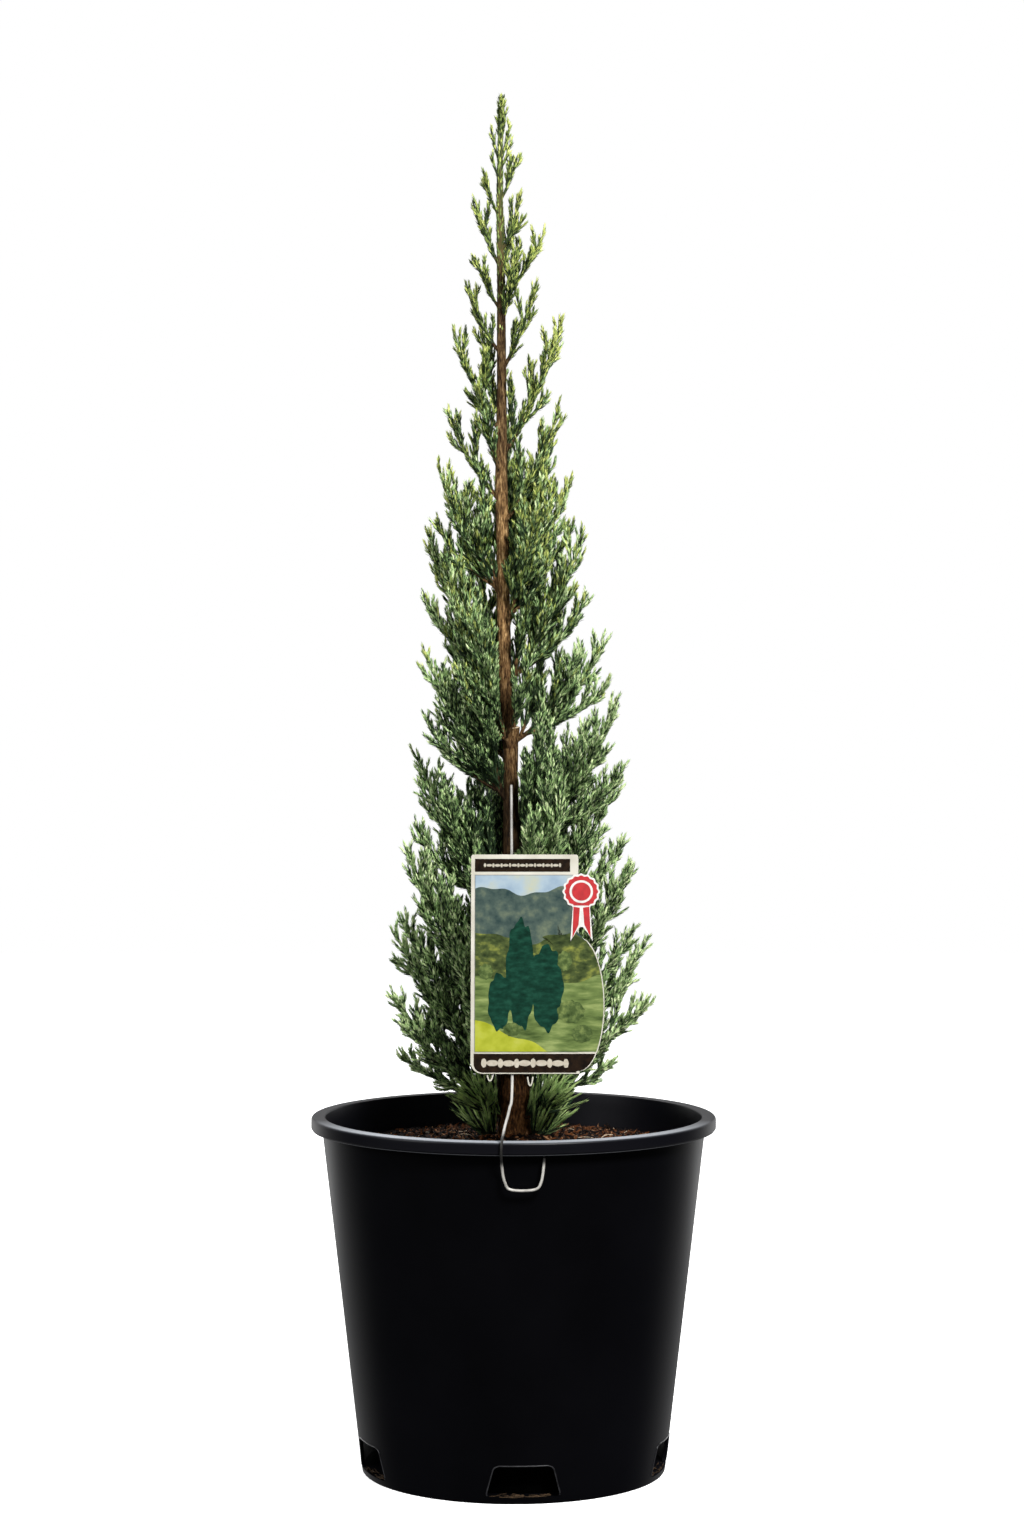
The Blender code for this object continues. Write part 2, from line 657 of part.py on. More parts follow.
def twig(plume, owner, space, draw, root, heading, wanted):
    """One side twig, a toothed spray in itself, with a plain spray standing out of it."""
    width = spray_radius(plume)
    for shrink in SHRINKS:
        length = wanted * shrink
        tip = root + heading * length
        if space.holds(owner, root + heading * length * TWIG_TEST_FROM, tip, width):
            break
    else:
        return []
    turn = draw.uniform(0, math.tau)
    shapes = [toothed_spray(root, tip, width, turn)]
    side, low = crosswise(heading)
    if plume.core and draw.random() > CORED_SIDE_SPRAYS:
        return shapes
    free_flank = turn + (SPRAY_SIDES - 0.5) * math.tau / SPRAY_SIDES
    out = math.cos(free_flank) * low + math.sin(free_flank) * side
    way = unit(math.cos(SPRAY_SPREAD) * heading + math.sin(SPRAY_SPREAD) * out + (0, 0, UPWARD))
    start = root + heading * length * SIDE_SPRAY_PLACE
    for shrink in SHRINKS:
        end = start + way * length * SIDE_SPRAY_LENGTH * shrink
        if space.holds(owner, start, end, width):
            shapes.append(spindle(start, end, width, TWIG_SIDES, turn))
            break
    return shapes


def join_mass(name, shapes, finish):
    """Unites the shapes of a plume into one closed body and drops what doesn't hold on to it."""
    stem = mesh_object(name, *shapes[0], finish)
    bag = bpy.data.collections.new(name + "_shoots")
    bpy.context.scene.collection.children.link(bag)
    for index, (points, faces) in enumerate(shapes[1:]):
        shoot = mesh_object(f"{name}_shoot_{index}", points, faces, finish)
        bpy.context.scene.collection.objects.unlink(shoot)
        bag.objects.link(shoot)
    union = stem.modifiers.new("Join", "BOOLEAN")
    union.operation = "UNION"
    union.operand_type = "COLLECTION"
    union.solver = "EXACT"
    union.collection = bag
    apply_modifiers(stem)
    for shoot in list(bag.objects):
        bpy.data.objects.remove(shoot)
    bpy.data.collections.remove(bag)
    keep_largest_body(stem.data)
    stem.data.materials.clear()
    stem.data.materials.append(finish)


def keep_largest_body(mesh):
    """Deletes every island of faces but the one with the most volume."""
    shell = bmesh.new()
    shell.from_mesh(mesh)
    bmesh.ops.triangulate(shell, faces=shell.faces)
    unseen = set(shell.verts)
    islands = []
    while unseen:
        first = unseen.pop()
        island, edge = {first}, [first]
        while edge:
            for link in edge.pop().link_edges:
                for vertex in link.verts:
                    if vertex in unseen:
                        unseen.discard(vertex)
                        island.add(vertex)
                        edge.append(vertex)
        islands.append(island)
    islands.sort(key=island_volume)
    loose = [vertex for island in islands[:-1] for vertex in island]
    bmesh.ops.delete(shell, geom=loose, context="VERTS")
    shell.to_mesh(mesh)
    shell.free()


def island_volume(island):
    faces = {face for vertex in island for face in vertex.link_faces}
    corners = [[vertex.co for vertex in face.verts] for face in faces]
    return sum(a.dot(b.cross(c)) for a, b, c in corners) / 6


def make_crown():
    """A bare bough where the plume has one, and the plume's mass of twigs and sprays."""
    bark = material("bough bark", (0.15, 0.09, 0.05), 0.9)
    greens = {
        "low": material("blue green foliage", (0.05, 0.11, 0.05), 0.8),
        "high": material("yellow green foliage", (0.16, 0.21, 0.07), 0.8),
    }
    plumes = all_plumes()
    space = Space(plumes)
    for owner, plume in enumerate(plumes):
        if plume.has_bough:
            shares = np.linspace(plume.leave, BOUGH_SHARE, BOUGH_STATIONS)
            limb = tube(plume.point(shares), plume.radius(shares), BOUGH_SIDES)
            bough = mesh_object(plume.name.replace("foliage", "bough"), *limb, bark)
            smooth(bough)
        green = greens["high" if plume.end[2] > DENSE_BELOW else "low"]
        join_mass(plume.name, grow(plume, owner, space), green)


def card_point(across, up, forward):
    """A place on the leaning card: across, up along its lean, and forward of the wire's line."""
    rise = 1 / math.hypot(1, WIRE_LEAN)
    back = WIRE_LEAN * rise
    return (
        across,
        WIRE_FRONT + up * back - forward * rise,
        POT_HEIGHT + up * rise + forward * back,
    )


def plate(name, outline, back, thickness, finish):
    """A thin flat piece on the card's plane, cut to an outline."""
    count = len(outline)
    points = [card_point(x, up, back + layer) for layer in (0.0, thickness) for x, up in outline]
    faces = [list(range(count)), list(range(count, 2 * count))]
    faces += [(i, (i + 1) % count, (i + 1) % count + count, i + count) for i in range(count)]
    return mesh_object(name, points, faces, finish)


def card_outline():
    """Round lower left corner, square top, and a half oval bulge out of the right side."""
    outline = corner_arc((CARD_LEFT + CARD_CORNER, CARD_LOW + CARD_CORNER), CARD_CORNER, 180, 270, 4)
    for middle, width, length in CARD_TABS:
        low = CARD_LOW - length
        left, right = middle - width / 2, middle + width / 2
        outline += [(left, CARD_LOW), (left, low + width / 4), (middle, low)]
        outline += [(right, low + width / 4), (right, CARD_LOW)]
    outline += [(CARD_RIGHT, CARD_LOW)]
    bulge = corner_arc((0, 0), 1.0, -90, 90, 12)
    for across, up in bulge[1:]:
        x = CARD_RIGHT + CARD_BULGE_WIDTH * across
        outline.append((x, CARD_BULGE_MIDDLE + CARD_BULGE_HALF_HEIGHT * up))
    outline += [(CARD_RIGHT, CARD_HIGH), (CARD_LEFT, CARD_HIGH)]
    return outline


def sticker_outline():
    """A round rosette with two ribbon tails below it."""
    x, up = STICKER_CENTRE
    outline = corner_arc((x, up), STICKER_RADIUS, -60, 240, 15)
    low = up - STICKER_TAIL
    half = STICKER_TAIL_WIDTH / 2
    outline += [(x - half, low), (x, low + STICKER_TAIL_NOTCH), (x + half, low)]
    return outline


def make_card():
    back = WIRE_RADIUS + GAP
    plastic = material("card", (0.80, 0.76, 0.66), 0.4)
    plate("label_card", card_outline(), back, CARD_THICKNESS, plastic)
    red = material("sticker", (0.55, 0.02, 0.02), 0.4)
    plate("label_sticker", sticker_outline(), back + CARD_THICKNESS + GAP, STICKER_THICKNESS, red)


def smooth_route(points, each):
    """A Catmull-Rom curve through the route's points, read off at even shares."""
    points = [np.array(point) for point in points]
    padded = [2 * points[0] - points[1], *points, 2 * points[-1] - points[-2]]
    route = []
    for index in range(1, len(padded) - 2):
        before, here, after, beyond = padded[index - 1 : index + 3]
        for step in range(each):
            t = step / each
            route.append(
                0.5
                * (
                    2 * here
                    + (after - before) * t
                    + (2 * before - 5 * here + 4 * after - beyond) * t**2
                    + (3 * here - before - 3 * after + beyond) * t**3
                )
            )
    route.append(points[-1])
    return route


def make_wire():
    """Bent wire: its end tucked up under the rim band, a loop below, then up behind the card."""
    tuck = WIRE_TUCK_INSET - (POT_RIM_RADIUS - POT_WALL - WIRE_RADIUS - WIRE_SEAT)
    over = -(POT_RIM_RADIUS + WIRE_RADIUS + WIRE_SEAT)
    depths = {"tucked": tuck, "loop": tuck - WIRE_TUCK_INSET, "over": over}
    route = [(across, depths[place], height) for across, place, height in WIRE_LOOP]
    for across, height in WIRE_RISE:
        route.append((across, WIRE_FRONT + WIRE_LEAN * (height - POT_HEIGHT), height))
    curve = bpy.data.curves.new("label_wire", "CURVE")
    curve.dimensions = "3D"
    curve.bevel_depth = WIRE_RADIUS
    curve.bevel_resolution = 2
    curve.use_fill_caps = True
    line = smooth_route(route, WIRE_STEPS)
    spline = curve.splines.new("POLY")
    spline.points.add(len(line) - 1)
    for place, point in zip(spline.points, line):
        place.co = (*map(float, point), 1.0)
    curve.materials.append(material("coated wire", (0.75, 0.72, 0.64), 0.4))
    wire = bpy.data.objects.new("label_wire", curve)
    bpy.context.scene.collection.objects.link(wire)


remove_everything()
make_pot()
make_potting_mix()
make_trunk()
make_crown()
make_card()
make_wire()
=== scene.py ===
# Young cone-shaped cypress in a nursery pot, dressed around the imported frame.
# Metres, +Z up, the origin under the middle of the pot. The picture card faces -Y.

import math

import bpy
import numpy as np
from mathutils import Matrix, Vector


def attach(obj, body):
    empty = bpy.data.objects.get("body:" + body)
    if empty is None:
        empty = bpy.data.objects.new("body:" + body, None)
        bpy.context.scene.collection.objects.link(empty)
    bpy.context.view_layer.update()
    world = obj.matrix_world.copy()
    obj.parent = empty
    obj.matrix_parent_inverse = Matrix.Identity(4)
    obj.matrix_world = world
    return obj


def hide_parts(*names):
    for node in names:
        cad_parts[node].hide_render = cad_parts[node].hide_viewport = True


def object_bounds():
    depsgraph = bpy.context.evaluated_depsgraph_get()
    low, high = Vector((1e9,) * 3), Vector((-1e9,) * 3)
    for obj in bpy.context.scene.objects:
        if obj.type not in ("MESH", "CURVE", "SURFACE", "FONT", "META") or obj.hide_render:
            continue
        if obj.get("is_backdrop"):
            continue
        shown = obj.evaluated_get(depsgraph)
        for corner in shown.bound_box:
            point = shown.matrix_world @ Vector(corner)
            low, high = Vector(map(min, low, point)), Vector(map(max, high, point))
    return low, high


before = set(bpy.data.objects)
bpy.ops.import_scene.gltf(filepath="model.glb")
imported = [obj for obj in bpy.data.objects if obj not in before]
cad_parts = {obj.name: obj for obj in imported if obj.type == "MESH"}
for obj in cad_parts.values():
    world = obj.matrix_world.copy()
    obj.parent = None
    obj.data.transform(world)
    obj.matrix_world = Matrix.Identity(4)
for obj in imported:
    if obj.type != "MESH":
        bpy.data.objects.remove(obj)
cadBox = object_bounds()
touchGap = 0.0003  # clearance that the solids keep between pieces that touch
print("frame:", len(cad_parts), "solids")


def joined(*values):
    # numbers or arrays stretched to one shape and laid side by side along a new last axis
    return np.stack(np.broadcast_arrays(*values), -1)


def around(radius, angle):
    # (radius * cos angle, radius * sin angle)
    return radius * np.cos(angle), radius * np.sin(angle)


def circle(count):
    # angles evenly round the circle
    return np.arange(count) * math.tau / count


def unit(rows):
    # each vector divided by its length
    return rows / np.maximum(np.linalg.norm(rows, axis=-1, keepdims=True), 1e-12)


def crosswise(ways):
    # two unit vectors square to each direction, the second pointing as far down as it can
    side = np.cross(ways, (0.0, 0.0, -1.0))
    side[np.linalg.norm(side, axis=1) < 1e-3] = (1.0, 0.0, 0.0)
    side = unit(side)
    return side, unit(np.cross(side, ways))


def radialOf(ways, turn):
    # a unit vector square to each direction: cos turn * low + sin turn * side
    side, low = crosswise(ways)
    return np.cos(turn)[:, None] * low + np.sin(turn)[:, None] * side


def ringOf(ways, sides):
    # unit vectors all round each direction: sin a * side - cos a * low
    side, low = crosswise(ways)
    angle = circle(sides)[:, None]
    return np.sin(angle) * side[:, None] - np.cos(angle) * low[:, None]


def lattice(u, v, seed, wrap=256):
    # smooth value noise from 0 to 1: random heights on whole numbers, eased between them,
    # and repeating every `wrap` steps of u
    table = np.random.default_rng(seed).random((256, 256))
    iu, iv = np.floor(u).astype(int), np.floor(v).astype(int)
    fu, fv = u - iu, v - iv
    fu, fv = fu * fu * (3 - 2 * fu), fv * fv * (3 - 2 * fv)
    a, b, c, d = iu % wrap, (iu + 1) % wrap, iv % 256, (iv + 1) % 256
    low = table[a, c] * (1 - fu) + table[b, c] * fu
    high = table[a, d] * (1 - fu) + table[b, d] * fu
    return low * (1 - fv) + high * fv


def gridFaces(rows, columns, closed=False):
    # squares between the rows and columns of a grid of points, joined round where `closed` is set
    i, j = np.indices((rows - 1, columns if closed else columns - 1))
    here, above, after = i * columns, (i + 1) * columns, (j + 1) % columns
    return joined(here + j, here + after, above + after, above + j).reshape(-1, 4)


def closedRings(rows, sides):
    # squares between rings of points, and the two flat faces that close the ends
    ring = np.arange(sides)
    return [gridFaces(rows, sides, True), np.stack([ring[::-1], (rows - 1) * sides + ring])]


def poleFans(rows, sides):
    # triangles from the first and the last ring to the two points that follow all rings
    ring, total = np.arange(sides), rows * sides
    after, last = (ring + 1) % sides, total - sides
    return np.concatenate([joined(total, after, ring), joined(total + 1, last + ring, last + after)])


def tubes(lines, radii, sides):
    # one tube round each line, closed at both ends: point = line + radius * ring
    # lines is tubes x stations x 3 and radii is tubes x stations
    count, stations = lines.shape[:2]
    ways = unit(np.gradient(lines, axis=1)).reshape(-1, 3)
    points = lines.reshape(-1, 1, 3) + radii.reshape(-1, 1, 1) * ringOf(ways, sides)
    shift = (np.arange(count) * stations * sides)[:, None, None]
    closed = closedRings(stations, sides)
    return points.reshape(-1, 3), [(faces + shift).reshape(-1, faces.shape[1])[:, ::-1] for faces in closed]


def newObject(name, data):
    made = bpy.data.objects.new(name, data)
    bpy.context.scene.collection.objects.link(made)
    return made


def addPiece(name, points, faceSets, finish, replaced=(), sharpAngle=None, flat=False):
    # points and faces straight into a mesh, then onto the one body
    mesh = bpy.data.meshes.new(name)
    faceSets = [np.asarray(faces) for faces in faceSets if len(faces)]
    corners = np.concatenate([faces.ravel() for faces in faceSets]).astype(np.int32)
    sizes = np.concatenate([np.full(len(faces), faces.shape[1]) for faces in faceSets])
    mesh.vertices.add(len(points))
    mesh.vertices.foreach_set("co", np.asarray(points, np.float32).ravel())
    mesh.loops.add(len(corners))
    mesh.loops.foreach_set("vertex_index", corners)
    mesh.polygons.add(len(sizes))
    mesh.polygons.foreach_set("loop_start", (np.cumsum(sizes) - sizes).astype(np.int32))
    mesh.update(calc_edges=True)
    mesh.materials.append(finish)
    if not flat:
        mesh.shade_smooth()
    if sharpAngle:
        mesh.set_sharp_from_angle(angle=math.radians(sharpAngle))
    piece = newObject(name, mesh)
    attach(piece, "root")
    if replaced:
        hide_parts(*replaced)


def newNode(tree, kind, **values):
    # a node with its inputs set, an underscore standing for the blank in an input's name
    node = tree.nodes.new(kind)
    for name, value in values.items():
        node.inputs[name.replace("_", " ")].default_value = value
    return node


def newFinish(name, roughness, specular=0.5, coat=0.0):
    finish = bpy.data.materials.new(name)
    finish.use_nodes = True
    shader = finish.node_tree.nodes["Principled BSDF"]
    shader.inputs["Roughness"].default_value = roughness
    shader.inputs["Specular IOR Level"].default_value = specular
    shader.inputs["Coat Weight"].default_value = coat
    return finish, finish.node_tree, shader


def noiseOn(tree, scale, stretch=(1.0, 1.0, 1.0), detail=4.0, rough=0.55):
    # noise on the piece's own coordinates, stretched along an axis where its share is under 1
    place = newNode(tree, "ShaderNodeTexCoord")
    mapping = newNode(tree, "ShaderNodeMapping", Scale=stretch)
    noise = newNode(tree, "ShaderNodeTexNoise", Scale=scale, Detail=detail, Roughness=rough)
    tree.links.new(place.outputs["Object"], mapping.inputs["Vector"])
    tree.links.new(mapping.outputs["Vector"], noise.inputs["Vector"])
    return noise.outputs["Fac"]


def rampOf(tree, driver, stops):
    # stops are (position, colour or grey), read along the driver's value
    ramp = newNode(tree, "ShaderNodeValToRGB")
    keys = ramp.color_ramp.elements
    while len(keys) < len(stops):
        keys.new(0.5)
    for key, (position, colour) in zip(keys, stops):
        key.position = position
        key.color = (*np.broadcast_to(colour, 3), 1.0)
    tree.links.new(driver, ramp.inputs["Fac"])
    return ramp.outputs["Color"]


def addBump(tree, shader, height, strength, distance):
    bump = newNode(tree, "ShaderNodeBump", Strength=strength, Distance=distance)
    tree.links.new(height, bump.inputs["Height"])
    tree.links.new(bump.outputs["Normal"], shader.inputs["Normal"])


def patterned(name, colours, scale, roughness, stretch=(1.0, 1.0, 1.0), bump=0.0, span=(0.3, 0.7), **extra):
    # noise through a ramp of colours, with the same noise as a fine relief
    finish, tree, shader = newFinish(name, roughness, **extra)
    noise = noiseOn(tree, scale, stretch)
    stops = list(zip(np.linspace(*span, len(colours)), colours))
    tree.links.new(rampOf(tree, noise, stops), shader.inputs["Base Color"])
    if bump:
        addBump(tree, shader, noise, 0.6, bump)
    return finish


def zoneOf(tree, low, high, axis="Z", kind="Object", least=0.0, most=1.0):
    # `least` below one place on an axis, `most` above the other
    place = newNode(tree, "ShaderNodeTexCoord")
    split = newNode(tree, "ShaderNodeSeparateXYZ")
    span = newNode(tree, "ShaderNodeMapRange", From_Min=low, From_Max=high, To_Min=least, To_Max=most)
    tree.links.new(place.outputs[kind], split.inputs["Vector"])
    tree.links.new(split.outputs[axis], span.inputs["Value"])
    return span.outputs["Result"]


def mixOf(tree, share, first, second, blend="MIX"):
    # two colours blended; each value is a number, a colour or another node's output
    mix = newNode(tree, "ShaderNodeMix")
    mix.data_type = "RGBA"
    mix.blend_type = blend
    for socket, value in (("Factor", share), ("A", first), ("B", second)):
        into = next(s for s in mix.inputs if s.name == socket and s.enabled)
        if isinstance(value, (tuple, float)):
            into.default_value = value if isinstance(value, float) else (*value, 1.0)
        else:
            tree.links.new(value, into)
    return next(s for s in mix.outputs if s.enabled)


studio = {
    "cameraPlace": (-0.001, -2.0, 0.4778),
    "cameraDown": 1.266,  # degrees below level
    "lens": 75.98,
    "floorSize": 8.0,
    "ambient": 0.34,
    "background": 1.0,
    "floorGlow": 0.67,
    # what glossy finishes mirror: dark on the camera's side, bright behind the plant
    "mirrorSpan": (0.35, 0.95),
    "mirrorGlow": (0.05, 1.5),
    # each light's place, side of its panel and watts
    "lights": {
        "keyLight": ((0.9, -1.9, 2.1), 0.7, 122.0),
        "sideLight": ((-1.9, -1.0, 1.3), 1.2, 26.0),
        "backLight": ((-0.3, 1.7, 1.9), 1.3, 30.0),
        "leftPanel": ((-1.05, 1.75, 0.25), 1.0, 6.0),
        "rightPanel": ((1.05, 1.75, 0.25), 1.0, 6.0),
    },
    "aimHeight": 0.42,
}


def makeStudio():
    camera = bpy.data.cameras.new("camera")
    camera.lens = studio["lens"]
    camera.sensor_width = 36.0
    camera.clip_end = 50.0
    holder = newObject("camera", camera)
    holder.location = studio["cameraPlace"]
    holder.rotation_euler = (math.radians(90 - studio["cameraDown"]), 0.0, 0.0)
    bpy.context.scene.camera = holder
    bpy.context.scene.view_settings.view_transform = "Standard"

    half = studio["floorSize"] / 2
    mesh = bpy.data.meshes.new("floor")
    corners = [(-half, -half, 0), (half, -half, 0), (half, half, 0), (-half, half, 0)]
    mesh.from_pydata(corners, [], [(0, 1, 2, 3)])
    floor = newObject("floor", mesh)
    paleFloor = patterned("pale floor", [0.90, 0.93], 3.0, 0.9, specular=0.0)
    glow = paleFloor.node_tree.nodes["Principled BSDF"].inputs
    glow["Emission Color"].default_value = (1.0, 1.0, 1.0, 1.0)
    glow["Emission Strength"].default_value = studio["floorGlow"]
    mesh.materials.append(paleFloor)
    floor.visible_glossy = False
    floor.visible_diffuse = False
    floor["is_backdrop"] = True

    for name, (place, side, watts) in studio["lights"].items():
        light = bpy.data.lights.new(name, "AREA")
        light.size = side
        light.energy = watts
        lamp = newObject(name, light)
        lamp.location = place
        away = np.array(place) - (0.0, 0.0, studio["aimHeight"])
        tilt, turn = math.acos(away[2] / np.linalg.norm(away)), math.atan2(away[1], away[0])
        lamp.rotation_euler = (tilt, 0.0, turn + math.pi / 2)
        lamp.visible_camera = False

    world = bpy.data.worlds.new("studio")
    world.use_nodes = True
    tree = world.node_tree
    soft = tree.nodes["Background"]
    soft.inputs["Color"].default_value = (0.95, 0.97, 1.0, 1.0)
    soft.inputs["Strength"].default_value = studio["ambient"]
    seen = newNode(tree, "ShaderNodeBackground", Strength=studio["background"], Color=(1.0, 1.0, 1.0, 1.0))
    mirrored = newNode(tree, "ShaderNodeBackground")
    span = zoneOf(tree, *studio["mirrorSpan"], "Y", "Generated", *studio["mirrorGlow"])
    tree.links.new(span, mirrored.inputs["Strength"])
    path = newNode(tree, "ShaderNodeLightPath")
    shown = soft
    for ray, other in (("Is Glossy Ray", mirrored), ("Is Camera Ray", seen)):
        mix = newNode(tree, "ShaderNodeMixShader")
        tree.links.new(path.outputs[ray], mix.inputs["Fac"])
        tree.links.new(shown.outputs[0], mix.inputs[1])
        tree.links.new(other.outputs[0], mix.inputs[2])
        shown = mix
    tree.links.new(shown.outputs[0], tree.nodes["World Output"].inputs["Surface"])
    bpy.context.scene.world = world


makeStudio()
print("studio set")

pot = {
    "height": 0.219,
    "rimRadius": 0.12499,
    "baseRadius": 0.0938,
    "neckRadius": 0.1182,
    "wall": 0.002,
    "floor": 0.0035,
    "rimBand": 0.008,
    "rimRound": 0.0014,
    "footRound": 0.0012,
    "lipRound": 0.001,
    "bandRound": 0.0007,
    "mouthRound": 0.0009,
    "notchLow": 0.004,
    "notchHigh": 0.0234,
    "notchWide": 0.045,
    "notchNarrow": 0.035,
    "notchCorner": 0.003,
    "notchTurn": 3.5,
    "notchCount": 5,
    "stepsInNotch": 12,
    "stepsBeside": 19,
    "stepsUp": 12,  # rows over the height of a notch
    "stepsWall": 40,
    "edgeBead": 0.00045,
    # painted highlights, from just under the rim's band to its top: a pale line at the band's lower edge and
    # a pale lip
    "paintedRimHighlights": (
        (0.03, 0.0),
        (0.05, (0.170, 0.175, 0.185)),
        (0.09, (0.110, 0.114, 0.122)),
        (0.12, (0.003, 0.003, 0.004)),
        (0.80, (0.002, 0.002, 0.003)),
        (0.88, (0.024, 0.026, 0.030)),
        (0.95, (0.320, 0.338, 0.366)),
    ),
}
notchMiddles = math.radians(-90 + pot["notchTurn"]) + circle(pot["notchCount"])


def wallRadius(height):
    share = height / (pot["height"] - pot["rimBand"])
    return pot["baseRadius"] + (pot["neckRadius"] - pot["baseRadius"]) * share


def insideRadius(height):
    lowest = wallRadius(pot["floor"]) - pot["wall"]
    share = (height - pot["floor"]) / (pot["height"] - pot["mouthRound"] - pot["floor"])
    return lowest + (pot["neckRadius"] - pot["wall"] - lowest) * share


def arc(centre, radius, start, end, steps):
    # places on a circle between two angles in degrees
    return joined(*around(radius, np.radians(np.linspace(start, end, steps + 1)))) + centre


def notchHalfWidth(height):
    # a slanted side, with the two corners rounded off by a circle's formula
    low, high, corner = pot["notchLow"], pot["notchHigh"], pot["notchCorner"]
    height = np.clip(height, low, high)
    lean = (pot["notchWide"] - pot["notchNarrow"]) / 2 * (height - low) / (high - low)
    depth = np.minimum(np.minimum(height - low, high - height), corner)
    return pot["notchWide"] / 2 - lean - corner + np.sqrt(corner**2 - (corner - depth) ** 2)


def makePot():
    # a section (radius, height) carried round the axis; where a row lies over the notches, its
    # columns shift so that one column follows each side of a notch, and the squares inside go
    rise = 0.5 - 0.5 * np.cos(np.linspace(0, math.pi, pot["stepsUp"] + 1))
    notchRows = pot["notchLow"] + (pot["notchHigh"] - pot["notchLow"]) * rise
    top, neck, wall, rim = (pot[key] for key in ("height", "neckRadius", "wall", "rimRadius"))
    foot, lip, edge, mouth = (pot[key] for key in ("footRound", "lipRound", "bandRound", "mouthRound"))
    band, under, fold = top - pot["rimBand"], top - wall, pot["rimRound"]
    wallRows = np.linspace(pot["notchHigh"], band, pot["stepsWall"] + 1)[1:]
    outer = np.concatenate([notchRows, wallRows])
    inner = outer[::-1]
    below = [(0.03, 0.0), (0.07, 0.0), *arc((pot["baseRadius"] - foot, foot), foot, 270, 360, 4)]
    section = np.concatenate(
        [
            below,
            joined(wallRadius(outer), outer),
            arc((neck + foot, under - foot), foot, 180, 90, 4),
            arc((rim - wall - lip, under - lip), lip, 90, 0, 4),
            arc((rim - lip, band + edge), edge, 180, 360, 6) + (-0.0002, 0.0),
            [(rim, band + foot), (rim, (band + top) / 2)],
            arc((rim - fold * 1.3, top - fold), fold * 1.3, 0, 90, 6) - (0.0, fold * 0.3),
            arc((neck - wall + mouth, top - mouth), mouth, 90, 180, 4),
            joined(insideRadius(inner), inner),
            [(insideRadius(pot["floor"]), pot["floor"]), (0.05, pot["floor"]), (0.03, pot["floor"])],
        ]
    )
    radius, height = section.T
    tall, startOuter = len(notchRows) - 1, len(below)
    startInner = len(section) - 4 - tall
    half = notchHalfWidth(height) / radius
    half = np.where(radius > 0.08, np.arcsin(np.clip(half, 0, 1)), 0.2)
    half[:startOuter] = half[startOuter]
    half[startInner + tall + 1 :] = half[startInner + tall]
    inside, beside = pot["stepsInNotch"], pot["stepsBeside"]
    half = half[:, None]
    after = half + np.linspace(0, 1, beside + 1)[1:] * (math.pi / pot["notchCount"] - half)
    local = np.concatenate([-after[:, ::-1][:, 1:], np.linspace(-1, 1, inside + 1) * half, after], 1)
    angle = (notchMiddles[:, None] + local[:, None]).reshape(len(section), -1)
    columns = angle.shape[1]
    points = joined(*around(radius[:, None], angle), height[:, None])

    place = np.arange(columns) % (columns // pot["notchCount"])
    gap = (place >= beside - 1) & (place < beside - 1 + inside)
    rows = np.arange(len(section) - 1)
    overNotch = np.any([(rows >= start) & (rows < start + tall) for start in (startOuter, startInner)], 0)
    faces = gridFaces(len(section), columns, True).reshape(-1, columns, 4)[~(overNotch[:, None] & gap)]

    # the notches' walls, between outer rows and the inner rows at the same heights
    numbers = np.arange(len(section) * columns).reshape(-1, columns)
    outerRows = numbers[startOuter : startOuter + tall + 1]
    innerRows = numbers[startInner : startInner + tall + 1][::-1]
    firsts = np.flatnonzero(place == beside - 1)
    walls = []
    for step, way in ((0, 1), (inside, -1)):
        for column in (firsts + step) % columns:
            a, b = outerRows[:, column], innerRows[:, column]
            walls.append(joined(a[:-1], a[1:], b[1:], b[:-1])[:, ::way])
    here = np.flatnonzero(gap)
    nextTo = (here + 1) % columns
    for a, b, way in ((outerRows[0], innerRows[0], 1), (outerRows[-1], innerRows[-1], -1)):
        walls.append(joined(a[here], a[nextTo], b[nextTo], b[here])[:, ::way])
    points = np.concatenate([points.reshape(-1, 3), [(0.0, 0.0, 0.0), (0.0, 0.0, pot["floor"])]])

    finish, tree, shader = newFinish("black moulded plastic", 0.42, specular=0.0, coat=0.26)
    shader.inputs["Coat Roughness"].default_value = 0.34
    fine = noiseOn(tree, 240.0, detail=3.0)
    rings = noiseOn(tree, 90.0, (0.02, 0.02, 1.0), 2.0)
    blacks = ((0.3, (0.0009, 0.0009, 0.0013)), (0.75, (0.0019, 0.0019, 0.0026)))
    black = rampOf(tree, noiseOn(tree, 14.0), blacks)
    # painted highlights: the band's lower edge and the lip's top are painted pale, the lip less so at the
    # back
    rubbed = rampOf(tree, zoneOf(tree, band - 0.0005, top + 0.0005), pot["paintedRimHighlights"])
    rubbed = mixOf(tree, zoneOf(tree, -0.100, -0.025, "Y"), rubbed, (0.002, 0.002, 0.003))
    tree.links.new(mixOf(tree, 1.0, black, rubbed, "ADD"), shader.inputs["Base Color"])
    tree.links.new(rampOf(tree, fine, ((0.3, 0.36), (0.7, 0.5))), shader.inputs["Roughness"])
    addBump(tree, shader, mixOf(tree, 0.5, fine, rings), 0.25, 0.0002)
    faceSets = [faces, *walls, poleFans(len(section), columns)]
    addPiece("nurseryPot", points, faceSets, finish, ["pot"], sharpAngle=38)


